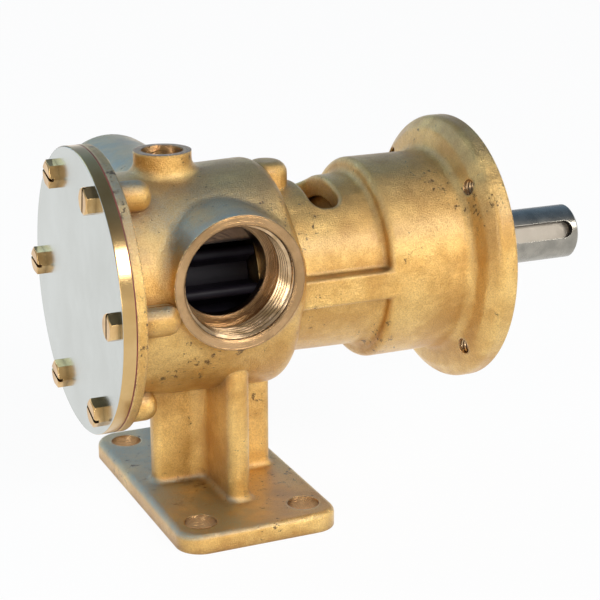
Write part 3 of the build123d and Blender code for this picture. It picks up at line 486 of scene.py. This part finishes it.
# %% Material helpers
def start_material(name, sockets):
    """A new material: itself, its tree, its shader and its Object coordinates."""
    material = bpy.data.materials.new(name)
    material.use_nodes = True
    tree = material.node_tree
    tree.nodes.clear()
    shader = add_node(tree, "ShaderNodeBsdfPrincipled", sockets)
    add_node(tree, "ShaderNodeOutputMaterial", {0: shader.outputs[0]})
    place = add_node(tree, "ShaderNodeTexCoord").outputs["Object"]
    return material, tree, shader, place


def bumped(tree, height, strength, distance, sockets=None):
    """The normal that height tilts. sockets may hold the normal to start from."""
    values = {"Strength": strength, "Distance": distance, "Height": height}
    values.update(sockets or {})
    return add_node(tree, "ShaderNodeBump", values).outputs[0]


def dress(names, material):
    """Put a material in every slot of the named CAD nodes."""
    for name in names:
        for holder in solids[name].material_slots:
            holder.material = material
    print(material.name, "on", ", ".join(names))


# %% [markdown]
# ## Cast bronze
# The casting was tumbled: its skin is a soft gold with a fine grain, slow waves from the sand
# mould, small dark pits and brown stain in the recesses, with painted shade darkening them further,
# while edges that stand out are rubbed bright and carry a painted highlight. Bores and machined rings
# are cut through that skin and show smoother, redder metal with turning marks. All of it is one
# casting, so one material does it all, and masks say which look holds at a point. The measures come
# first. They are read from the drawing of the pump.

# %% Where the ports are
PORT_X, PORT_Z = -5.7 * MM, 111.5 * MM
PORT_BORE_START = 20 * MM
PORT_BORE_R = 24.65 * MM
PORT_RING_R = 40 * MM
NEAR_MOUTH_Y = -53 * MM
FAR_MOUTH_Y = 117 * MM

# %% Where boss, housing, flange and foot are cut
SHAFT_HEIGHT = 100 * MM
SHAFT_LINE = (0, 0, SHAFT_HEIGHT)
BOSS_X = -19.3 * MM
BOSS_TOP_Z = 157 * MM
BOSS_RING_R = 20 * MM
BOSS_POCKET_R = 9.05 * MM
BOSS_POCKET_Z = 145 * MM
FLANGE_FACE_X = 120 * MM
FLANGE_FACE_R = 80 * MM
HOUSING_BORE_R = 37.6 * MM
HOUSING_BORE_X = 66 * MM
FLANGE_HOLE_CIRCLE = 51.3 * MM
FLANGE_HOLE_CUT_R = 3.5 * MM
FLANGE_HOLE_X = 100 * MM
FOOT_HOLE_X, FOOT_HOLE_Y = 23.5 * MM, 49 * MM
FOOT_HOLE_R = 6.85 * MM
FOOT_HOLE_Z = 8.4 * MM
FACE_SKIN = 0.05 * MM  # a face's cut starts this far under it
PAST_FACE = 1 * MM  # and ends this far beyond it
PAST_MOUTH = 0.5 * MM  # less at the ports, because a screw's lug comes near the mouth's plane


def flange_hole_mouths():
    """Mouths of the four threaded holes, on a circle at 45 degrees to the axes."""
    mouths = []
    for index in range(4):
        angle = pi / 4 + index * pi / 2
        y = -FLANGE_HOLE_CIRCLE * cos(angle)
        z = SHAFT_HEIGHT + FLANGE_HOLE_CIRCLE * sin(angle)
        mouths.append((FLANGE_FACE_X, y, z))
    return mouths


# %% Everything that a tool cut
def list_cuts():
    """(centre, direction, radius, low, high) of every cut. The near port's bore is the first."""
    port, boss = (PORT_X, 0, PORT_Z), (BOSS_X, 0, 0)
    cuts = []
    for direction, reach in ((TO_NEAR_SIDE, -NEAR_MOUTH_Y), (TO_FAR_SIDE, FAR_MOUTH_Y)):
        end = reach + PAST_MOUTH
        cuts.append((port, direction, PORT_BORE_R, PORT_BORE_START, end))
        cuts.append((port, direction, PORT_RING_R, reach - FACE_SKIN, end))
    end = BOSS_TOP_Z + PAST_FACE
    cuts.append((boss, UPWARD, BOSS_POCKET_R, BOSS_POCKET_Z, end))
    cuts.append((boss, UPWARD, BOSS_RING_R, BOSS_TOP_Z - FACE_SKIN, end))
    end = FLANGE_FACE_X + PAST_FACE
    cuts.append((SHAFT_LINE, TO_DRIVE_END, FLANGE_FACE_R, FLANGE_FACE_X - FACE_SKIN, end))
    cuts.append((SHAFT_LINE, TO_DRIVE_END, HOUSING_BORE_R, HOUSING_BORE_X, end))
    for _, y, z in flange_hole_mouths():
        cuts.append(((0, y, z), TO_DRIVE_END, FLANGE_HOLE_CUT_R, FLANGE_HOLE_X, end))
    for x in (-FOOT_HOLE_X, FOOT_HOLE_X):
        for y in (-FOOT_HOLE_Y, FOOT_HOLE_Y):
            cuts.append(((x, y, 0), UPWARD, FOOT_HOLE_R, -PAST_FACE, FOOT_HOLE_Z))
    return cuts


def cut_mask(tree, place):
    """Mask of all cuts, and the near port's travel and depth for its marks and its painted shade."""
    first, *others = [bore(tree, place, *cut) for cut in list_cuts()]
    total = first["Mask"]
    for other in others:
        total = calc(tree, "MAXIMUM", total, other["Mask"])
    return total, first["Travel"], calc(tree, "MULTIPLY", first["Depth"], first["Mask"])


print("cuts", len(list_cuts()))

# %% [markdown]
# ## Painted cool reflection and stains on the casting
# Two more things are plain on the casting. A painted reflection of the cool blue-grey room above lies
# as a dull blue-green on the faces that look up and towards the cover, most of all on the foot and on
# top of the ports, and weaker in the middle. Brown-black stains lie on the foot round the pedestal,
# where drips dry. Both are masks made from where a point is and which way it faces, broken up by noise.

# %% Painted cool reflection and stain masks
COOL_ROOM_DIRECTION = (-0.4, 0.0, 0.92)
FACING_LEVELS = 0.35, 0.85  # cosines to that direction
OFF_MIDDLE_Y = 12 * MM, 35 * MM
LOW_DOWN_Z = 50 * MM, 20 * MM
TOWARDS_COVER_X = 30 * MM, -10 * MM
REFLECTION_IN_MIDDLE, REFLECTION_AT_DRIVE_END = 0.25, 0.2
FOOT_STAIN_SCALE = 130.0
FOOT_STAIN_LEVELS = 0.54, 0.66
FOOT_STAIN_SHARE = 0.85
FOOT_STAIN_R = 40 * MM
FOOT_STAIN_LOW, FOOT_STAIN_HIGH = 7.5 * MM, 13 * MM


def cool_reflection_share(tree, place, skin):
    """Painted cool reflection: facing the cool room's direction, times off the middle or low down, times
    towards the cover.
    """
    facing = dot(tree, add_node(tree, "ShaderNodeTexCoord").outputs["Normal"], COOL_ROOM_DIRECTION)
    spot = add_node(tree, "ShaderNodeSeparateXYZ", {0: place}).outputs
    off_middle = calc(tree, "ABSOLUTE", spot["Y"])
    off_middle = between(tree, off_middle, *OFF_MIDDLE_Y, REFLECTION_IN_MIDDLE, 1.0)
    low_down = between(tree, spot["Z"], *LOW_DOWN_Z)
    share = calc(tree, "MAXIMUM", off_middle, low_down)
    for factor in (
        between(tree, spot["X"], *TOWARDS_COVER_X, REFLECTION_AT_DRIVE_END, 1.0),
        between(tree, facing, *FACING_LEVELS),
        between(tree, skin["Speck"], 0, 1, 0.9, 0.5),
        between(tree, skin["Tone"], 0, 1, 1.0, 0.55),
    ):
        share = calc(tree, "MULTIPLY", share, factor)
    return share


def foot_stain_share(tree, place):
    """Blots of a coarse noise on the foot's top, near the pedestal."""
    region = bore(tree, place, (0, 0, 0), UPWARD, FOOT_STAIN_R, FOOT_STAIN_LOW, FOOT_STAIN_HIGH)
    lumps = noise(tree, place, FOOT_STAIN_SCALE, 8.0, 0.8)
    blots = between(tree, lumps, *FOOT_STAIN_LEVELS, 0.0, FOOT_STAIN_SHARE)
    return calc(tree, "MULTIPLY", region["Mask"], blots)


# %% [markdown]
# ## The casting's colours
# Gold of two tones lies at the bottom. Grain, painted cool reflection, recess stain with painted shade,
# foot stain, rubbed edges with painted highlight and pits are laid over it in that order, each by its
# own mask. The turned metal replaces them all where a tool has cut, and painted shade darkens it deep
# inside the near port.

# %% Colours of the cast skin
GOLD_DARK, GOLD_LIGHT = (0.68, 0.39, 0.105, 1), (0.93, 0.63, 0.22, 1)
SPECK_BROWN = (0.42, 0.2, 0.055, 1)
# Painted reflection of the cool room above, on faces that look up.
COOL_REFLECTION_GREY = (0.36, 0.48, 0.47, 1)
# Brown stain in the recesses, deepened by painted shade.
RECESS_BROWN_AND_SHADE = (0.24, 0.1, 0.028, 1)
FOOT_BROWN = (0.11, 0.048, 0.016, 1)
# Rubbed edges, brightened further as a painted highlight.
RUBBED_GOLD_AND_HIGHLIGHT = (0.86, 0.62, 0.3, 1)
PIT_DARK = (0.06, 0.03, 0.02, 1)
TURNED_DARK, TURNED_LIGHT = (0.4, 0.24, 0.105, 1), (0.56, 0.35, 0.17, 1)
# Painted shade deep inside the near port.
PORT_PAINTED_SHADE = (0.1, 0.06, 0.04, 1)

# %% How strongly each layer covers
SPECK_SHARE, RUBBED_AND_HIGHLIGHT_SHARE, PIT_SHARE = 0.42, 0.6, 0.75
RECESS_ON_DARK, RECESS_ON_LIGHT = 0.95, 0.55
# How strongly painted shade covers the deep port, where it starts and where it is full.
PORT_SHADE_SHARE = 0.85
SHADE_FROM_Y, SHADE_IN_FULL_Y = 36 * MM, 28 * MM


def cast_colour(tree, place, skin, wear):
    """The cast skin's colour: six layers over two tones of gold."""
    tone = skin["Tone"]
    recess = between(tree, tone, 0, 1, RECESS_ON_DARK, RECESS_ON_LIGHT)
    layers = [
        (calc(tree, "MULTIPLY", skin["Speck"], SPECK_SHARE), SPECK_BROWN),
        # painted cool reflection on faces that look up
        (cool_reflection_share(tree, place, skin), COOL_REFLECTION_GREY),
        # brown stain and painted shade in the recesses
        (calc(tree, "MULTIPLY", wear["Recess"], recess), RECESS_BROWN_AND_SHADE),
        (foot_stain_share(tree, place), FOOT_BROWN),
        # rubbed edges and painted highlight
        (calc(tree, "MULTIPLY", wear["Edge"], RUBBED_AND_HIGHLIGHT_SHARE), RUBBED_GOLD_AND_HIGHLIGHT),
        (calc(tree, "MULTIPLY", skin["Pits"], PIT_SHARE), PIT_DARK),
    ]
    colour = mix_colour(tree, tone, GOLD_DARK, GOLD_LIGHT)
    for share, layer in layers:
        colour = mix_colour(tree, share, colour, layer)
    return colour


def turned_colour(tree, tone, depth):
    """Turned bronze, with painted shade where the near port is deeper than the thread."""
    colour = mix_colour(tree, tone, TURNED_DARK, TURNED_LIGHT)
    deep = between(tree, depth, SHADE_FROM_Y, SHADE_IN_FULL_Y)
    inside = calc(tree, "GREATER_THAN", depth, 1 * MM)
    share = calc(tree, "MULTIPLY", calc(tree, "MULTIPLY", deep, inside), PORT_SHADE_SHARE)
    return mix_colour(tree, share, colour, PORT_PAINTED_SHADE)


# %% [markdown]
# ## The bronze itself
# A tumbled surface has two kinds of shine at once: a soft one from the grain, and a sharper one
# from the tops that the tumbling stones have polished. One roughness can't give both. A coat over
# the metal adds the second. Edges are smoother than the skin, recesses are rougher, cuts are
# smoothest of all.

# %% Cast bronze material
DARK_ROUGHNESS, LIGHT_ROUGHNESS, CUT_ROUGHNESS = 0.36, 0.28, 0.22
EDGE_POLISH, RECESS_DULLING = 0.14, 0.15
PORT_MARK_SPACING = 0.6 * MM
PORT_MARK_HEIGHT = 0.3
SKIN_BUMP, SKIN_RELIEF = 0.9, 0.5 * MM


def cast_bronze():
    """Cast skin, and turned metal where a tool has cut."""
    material, tree, shader, place = start_material(
        "cast_bronze", {"Metallic": 1.0, "Coat Weight": 0.45, "Coat Roughness": 0.34}
    )
    skin = use_group(tree, cast_skin, {"Vector": place})
    wear = use_group(tree, edges_and_recesses, {"Radius": 1.8 * MM, "Reach": 6.5 * MM})
    cut, travel, depth = cut_mask(tree, place)
    cast = cast_colour(tree, place, skin, wear)
    colour = mix_colour(tree, cut, cast, turned_colour(tree, skin["Tone"], depth))
    rough = between(tree, skin["Tone"], 0, 1, DARK_ROUGHNESS, LIGHT_ROUGHNESS)
    rough = calc(tree, "SUBTRACT", rough, calc(tree, "MULTIPLY", wear["Edge"], EDGE_POLISH))
    rough = calc(tree, "ADD", rough, calc(tree, "MULTIPLY", wear["Recess"], RECESS_DULLING))
    rough = mix_value(tree, cut, rough, CUT_ROUGHNESS)
    sockets = {"Travel": travel, "Spacing": PORT_MARK_SPACING, "Vector": place}
    rings = use_group(tree, turning_marks, sockets)["Height"]
    rings = calc(tree, "MULTIPLY", rings, PORT_MARK_HEIGHT)
    height = mix_value(tree, cut, skin["Height"], rings)
    normal = bumped(tree, height, SKIN_BUMP, SKIN_RELIEF, {"Normal": wear["Normal"]})
    fill(tree, shader, {"Base Color": colour, "Roughness": rough, "Normal": normal})
    return material


dress(["pump_casting"], cast_bronze())

# %% [markdown]
# ## Turned and ground metals
# Screws, bushes, rings and balls came off a lathe or a grinder. They differ in metal and in polish,
# but all get a painted highlight on the rounded edge, painted shade in the corners and faint marks
# round the axis.
# So one recipe serves them all, and a table holds what differs.

# %% One recipe for turned metals
RING_SPACING, RING_RELIEF = 0.5 * MM, 0.1 * MM
# Shares of painted shade in corners and painted highlight on edges.
CORNER_SHADE_SHARE, SHINE_SHARE = 0.7, 0.7
METAL_PATCH_SCALE = 160.0
TURNED_EDGE, SMALL_EDGE = 0.4 * MM, 0.2 * MM


def turned_metal(name, tones, roughness, strength=0.25, edge=TURNED_EDGE):
    """A metal between two tones. Painted shade in corners is the dark tone x 0.3, the painted highlight on
    edges (shine) is the light tone x 1.35.
    """
    dark, light = tones
    corner_shade = tuple(c * 0.3 for c in dark[:3]) + (1,)
    shine = tuple(min(1.0, c * 1.35) for c in light[:3]) + (1,)
    material, tree, shader, place = start_material(name, {"Metallic": 1.0})
    wear = use_group(tree, edges_and_recesses, {"Radius": edge, "Reach": 4 * MM})
    patches = noise(tree, place, METAL_PATCH_SCALE, 4.0)
    colour = mix_colour(tree, between(tree, patches, 0.35, 0.65), dark, light)
    # painted shade in the corners
    colour = mix_colour(tree, calc(tree, "MULTIPLY", wear["Recess"], CORNER_SHADE_SHARE), colour, corner_shade)
    # painted highlight on the edges
    colour = mix_colour(tree, calc(tree, "MULTIPLY", wear["Edge"], SHINE_SHARE), colour, shine)
    rough = between(tree, patches, 0.3, 0.7, roughness - 0.04, roughness + 0.06)
    travel = add_node(tree, "ShaderNodeSeparateXYZ", {0: place}).outputs["X"]
    sockets = {"Travel": travel, "Spacing": RING_SPACING, "Vector": place}
    marks = use_group(tree, turning_marks, sockets)
    normal = bumped(tree, marks["Height"], strength, RING_RELIEF, {"Normal": wear["Normal"]})
    fill(tree, shader, {"Base Color": colour, "Roughness": rough, "Normal": normal})
    return material


# %% Dark and light tone of each metal
BRASS = (0.58, 0.34, 0.13, 1), (0.78, 0.52, 0.24, 1)
BRONZE = (0.5, 0.32, 0.13, 1), (0.68, 0.46, 0.2, 1)
COPPER = (0.5, 0.22, 0.12, 1), (0.7, 0.34, 0.2, 1)
GROUND_STEEL = (0.4, 0.4, 0.41, 1), (0.55, 0.55, 0.56, 1)
POLISHED_STEEL = (0.6, 0.6, 0.62, 1), (0.7, 0.7, 0.72, 1)
BLACK_STEEL = (0.07, 0.07, 0.07, 1), (0.12, 0.12, 0.12, 1)

# %% Dress the turned pieces
RACES = [f"{end}_bearing_{side}_ring" for end in ("front", "rear") for side in ("outer", "inner")]
screw_brass = turned_metal("screw_brass", BRASS, 0.16, 0.1, SMALL_EDGE)
dress(["cover_screws", "cam_screw"], screw_brass)
inner_bronze = turned_metal("inner_bronze", BRONZE, 0.3)
dress(["cam", "wear_plate", "wear_plate_pin", "impeller_insert"], inner_bronze)
dress(["front_bearing_cage", "rear_bearing_cage"], turned_metal("cage_brass", BRASS, 0.25))
dress(["cam_screw_washer"], turned_metal("copper", COPPER, 0.32))
ground_steel = turned_metal("ground_steel", GROUND_STEEL, 0.2, 0.15)
dress(RACES + ["bearing_spacer", "impeller_key", "seal_spring"], ground_steel)
ball_steel = turned_metal("ball_steel", POLISHED_STEEL, 0.07, 0.02)
dress(["front_bearing_balls", "rear_bearing_balls"], ball_steel)
dress(["shaft_circlips", "housing_circlip"], turned_metal("phosphated_steel", BLACK_STEEL, 0.4))

# %% [markdown]
# ## The shaft and its keyway
# The shaft is ground steel, warmer and duller than the bearings. Its keyway was milled, so its
# floor is coarser, and its walls are painted near black as shade, because they face each other. The
# keyway needs no drawing of its own: under the shaft's surface there is no other metal near the
# drive end, so whatever lies below a radius there belongs to it, and the distance from the shaft
# line tells the floor from the walls.

# %% Shaft material
SHAFT_STEEL = (0.29, 0.275, 0.24, 1), (0.4, 0.375, 0.325, 1)
MILLED_STEEL = (0.3, 0.27, 0.23, 1)
# Painted shade on the keyway's walls.
KEYWAY_WALL_SHADE = (0.03, 0.03, 0.035, 1)
KEYWAY_START, KEYWAY_END = 122 * MM, 179 * MM
KEYWAY_OPEN_R = 12.3 * MM
KEYWAY_FLOOR_R, KEYWAY_WALL_R = 9.4 * MM, 9.7 * MM


def shaft_steel():
    """Ground steel, with the keyway told by the distance from the shaft line, sqrt(y^2 + z^2)."""
    material = turned_metal("shaft_steel", SHAFT_STEEL, 0.26, 0.35)
    tree = material.node_tree
    shader = next(node for node in tree.nodes if node.type == "BSDF_PRINCIPLED")
    place = add_node(tree, "ShaderNodeTexCoord").outputs["Object"]
    keyway = bore(tree, place, SHAFT_LINE, TO_DRIVE_END, KEYWAY_OPEN_R, KEYWAY_START, KEYWAY_END)
    distance = calc(tree, "SUBTRACT", keyway["Travel"], keyway["Depth"])
    on_wall = between(tree, distance, KEYWAY_FLOOR_R, KEYWAY_WALL_R)
    wall_shade = calc(tree, "MULTIPLY", keyway["Mask"], on_wall)
    ground = shader.inputs["Base Color"].links[0].from_socket
    colour = mix_colour(tree, keyway["Mask"], ground, MILLED_STEEL)
    # painted shade on the keyway's walls
    colour = mix_colour(tree, wall_shade, colour, KEYWAY_WALL_SHADE)
    polish = shader.inputs["Roughness"].links[0].from_socket
    rough = calc(tree, "ADD", polish, calc(tree, "MULTIPLY", keyway["Mask"], 0.2))
    fill(tree, shader, {"Base Color": colour, "Roughness": rough})
    return material


dress(["shaft"], shaft_steel())

# %% [markdown]
# ## The cover plate
# The flat face was ground to a fine satin and reads as light grey, because it mirrors the paper
# around it. Its narrow rim is polished and keeps the colour of brass. The X coordinate alone tells
# one from the other, so no second material is needed.

# %% Cover plate material
COVER_FACE_X = -58.5 * MM
FACE_TOLERANCE = 0.12 * MM
FACE_GREY = (0.54, 0.56, 0.53, 1), (0.6, 0.625, 0.6, 1)
RIM_BRASS = (0.56, 0.36, 0.14, 1), (0.74, 0.52, 0.25, 1)
RIM_ROUGHNESS, FACE_ROUGHNESS = 0.16, 0.17
CLOUD_SCALE, SATIN_SCALE = 40.0, 2500.0
SATIN_BUMP, SATIN_RELIEF = 0.12, 0.1 * MM


def cover_metal():
    """Satin grey on the front face, polished brass on the rim and in the screw holes."""
    material, tree, shader, place = start_material("cover_face", {"Metallic": 1.0})
    wear = use_group(tree, edges_and_recesses, {"Radius": TURNED_EDGE, "Reach": 4 * MM})
    x = add_node(tree, "ShaderNodeSeparateXYZ", {0: place}).outputs["X"]
    face = calc(tree, "LESS_THAN", x, COVER_FACE_X + FACE_TOLERANCE)
    cloud = between(tree, noise(tree, place, CLOUD_SCALE, 6.0, 0.6), 0.3, 0.7)
    grey = mix_colour(tree, cloud, *FACE_GREY)
    brass = mix_colour(tree, cloud, *RIM_BRASS)
    colour = mix_colour(tree, face, brass, grey)
    rough = mix_value(tree, face, RIM_ROUGHNESS, FACE_ROUGHNESS)
    grain = noise(tree, place, SATIN_SCALE, 2.0)
    normal = bumped(tree, grain, SATIN_BUMP, SATIN_RELIEF, {"Normal": wear["Normal"]})
    fill(tree, shader, {"Base Color": colour, "Roughness": rough, "Normal": normal})
    return material


dress(["cover_plate"], cover_metal())

# %% [markdown]
# ## Rubber, carbon, ceramic and gasket sheet
# The soft and hard pieces round the shaft are dull next to the metal. They differ in colour, in
# gloss and in how coarse their skin is, so one recipe with a few numbers covers them. The impeller
# is nearly black and shows little gloss, so that the ports stay dark as in the photograph.

# %% One recipe for the dull pieces
SLOW_SCALE = 90.0
DULL_RELIEF = 0.2 * MM


def dull_piece(name, dark, light, roughness, grain, strength, sheen=0.0, specular=0.5):
    """A non-metal between two tones. grain counts the lumps of its skin per metre."""
    material, tree, shader, place = start_material(
        name, {"Metallic": 0.0, "Sheen Weight": sheen, "Specular IOR Level": specular}
    )
    fine = noise(tree, place, grain, 4.0)
    slow = noise(tree, place, SLOW_SCALE, 3.0)
    colour = mix_colour(tree, between(tree, slow, 0.3, 0.7), dark, light)
    rough = between(tree, fine, 0.3, 0.7, roughness - 0.06, roughness + 0.08)
    normal = bumped(tree, fine, strength, DULL_RELIEF)
    fill(tree, shader, {"Base Color": colour, "Roughness": rough, "Normal": normal})
    return material


# %% Dress the dull pieces
black_rubber = dull_piece(
    "black_rubber", (0.005, 0.004, 0.008, 1), (0.011, 0.009, 0.014, 1), 0.5, 1800, 0.2, specular=0.18
)
dress(["impeller_rubber", "seal_cup", "seal_bellows", "slinger"], black_rubber)
seal_rubber = dull_piece(
    "seal_rubber", (0.07, 0.03, 0.018, 1), (0.11, 0.05, 0.03, 1), 0.45, 1500, 0.2, sheen=0.1
)
dress(["inner_oil_seal", "outer_oil_seal"], seal_rubber)
carbon = dull_piece("carbon", (0.02, 0.02, 0.022, 1), (0.045, 0.045, 0.048, 1), 0.3, 2500, 0.1)
dress(["seal_face_ring"], carbon)
ceramic = dull_piece("ceramic", (0.78, 0.75, 0.68, 1), (0.86, 0.83, 0.76, 1), 0.22, 900, 0.03)
dress(["seal_seat"], ceramic)
gasket = dull_piece("gasket_sheet", (0.12, 0.012, 0.01, 1), (0.2, 0.025, 0.02, 1), 0.6, 3000, 0.3)
dress(["cover_gasket"], gasket)

# %% [markdown]
# ## Threads
# A thread is a ridge carried along a helix, so it is a surface of two parameters: the turn along
# the helix and the position across the ridge. Rings side by side would be simpler, but at the
# mouth the eye looks for the one place where the thread starts. The ridge is a rounded triangle. It
# rises from the wall of the bore towards the axis, fades in at the mouth where the tap started, and
# fades out at the bottom.

# %% Cross-section of the ridge: across in pitches, height in depths
RIDGE = np.array(
    [
        (-0.5, -0.12),
        (-0.42, 0.02),
        (-0.14, 0.86),
        (-0.06, 1.0),
        (0.06, 1.0),
        (0.14, 0.86),
        (0.42, 0.02),
        (0.5, -0.12),
    ]
)
FADE_TURNS = 0.6
FADED_HEIGHT = 0.02


# %% Helical thread
def helical_thread(name, mouth, inward, radius, depth, pitch, length, segments):
    """Ridge on a bore's wall. Point = mouth + inward * travel + (radius - height) * around.

    travel = pitch * turn plus the place across the ridge. around turns with the angle 2 pi * turn.
    height is the ridge times a smooth rise and fall at both ends.
    """
    inward = np.array(inward, float)
    side = np.array([0, 0, 1.0])
    other = np.cross(inward, side)
    turns = (length - pitch) / pitch
    turn = np.linspace(0, turns, int(turns * segments))
    ease = np.clip(np.minimum(turn, turns - turn) / FADE_TURNS, 0, 1)
    ease = ease * ease * (3 - 2 * ease)
    share = FADED_HEIGHT + (1 - FADED_HEIGHT) * ease[:, None]
    across, rise = RIDGE[:, 0], RIDGE[:, 1]
    height = np.where(rise > 0, rise * share, rise[None, :]) * depth
    travel = pitch * (turn[:, None] + 0.5 + across[None, :])
    angle = 2 * pi * turn
    around = np.cos(angle)[:, None] * side + np.sin(angle)[:, None] * other
    outward = (radius - height)[..., None] * around[:, None, :]
    points = np.array(mouth, float) + travel[..., None] * inward + outward
    mesh = bpy.data.meshes.new(name)
    mesh.from_pydata(points.reshape(-1, 3).tolist(), [], ridge_faces(*height.shape))
    mesh.update()
    mesh.polygons.foreach_set("use_smooth", np.ones(len(mesh.polygons), dtype=bool))
    piece = bpy.data.objects.new(name, mesh)
    scene.collection.objects.link(piece)
    print(name, len(mesh.polygons), "faces,", round(turns, 1), "turns")
    return piece


def ridge_faces(rows, columns):
    """Quads between neighbouring rows, closed round the section, and a cap at each end."""
    grid = np.arange(rows * columns).reshape(rows, columns)
    a, b = grid[:-1, :], grid[1:, :]
    following = np.roll(np.arange(columns), -1)
    quads = np.stack([a, a[:, following], b[:, following], b], axis=-1).reshape(-1, 4)
    return quads.tolist() + [grid[0, ::-1].tolist(), grid[-1].tolist()]


# %% Threads of the two ports
PORT_THREAD_R = 23.9 * MM
PORT_THREAD_DEPTH, PORT_THREAD_PITCH = 1.4 * MM, 2.309 * MM
PORT_THREAD_LENGTH = 16 * MM
PORT_THREAD_INSET = 0.7 * MM
PORT_SEGMENTS = 72
THREAD_METAL = (0.5, 0.34, 0.18, 1), (0.72, 0.52, 0.32, 1)

thread_metal = turned_metal("thread_metal", THREAD_METAL, 0.22, 0.1, SMALL_EDGE)
threads = []
for name, mouth_y, way in (("near_port_thread", NEAR_MOUTH_Y, 1), ("far_port_thread", FAR_MOUTH_Y, -1)):
    mouth = (PORT_X, mouth_y + way * PORT_THREAD_INSET, PORT_Z)
    shape = (PORT_THREAD_R, PORT_THREAD_DEPTH, PORT_THREAD_PITCH, PORT_THREAD_LENGTH, PORT_SEGMENTS)
    threads.append(helical_thread(name, mouth, (0, way, 0), *shape))

# %% Threads of the four flange holes
FLANGE_HOLE_R = 3.4 * MM
FLANGE_THREAD_DEPTH, FLANGE_THREAD_PITCH = 0.55 * MM, 1.25 * MM
FLANGE_THREAD_LENGTH = 12 * MM
FLANGE_SEGMENTS = 28

for index, mouth in enumerate(flange_hole_mouths()):
    name = f"flange_thread_{index + 1}"
    shape = (FLANGE_HOLE_R, FLANGE_THREAD_DEPTH, FLANGE_THREAD_PITCH, FLANGE_THREAD_LENGTH, FLANGE_SEGMENTS)
    threads.append(helical_thread(name, mouth, (-1, 0, 0), *shape))

# %% The threads belong to the casting
for piece in threads:
    piece.data.materials.append(thread_metal)
    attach(piece, "casing")
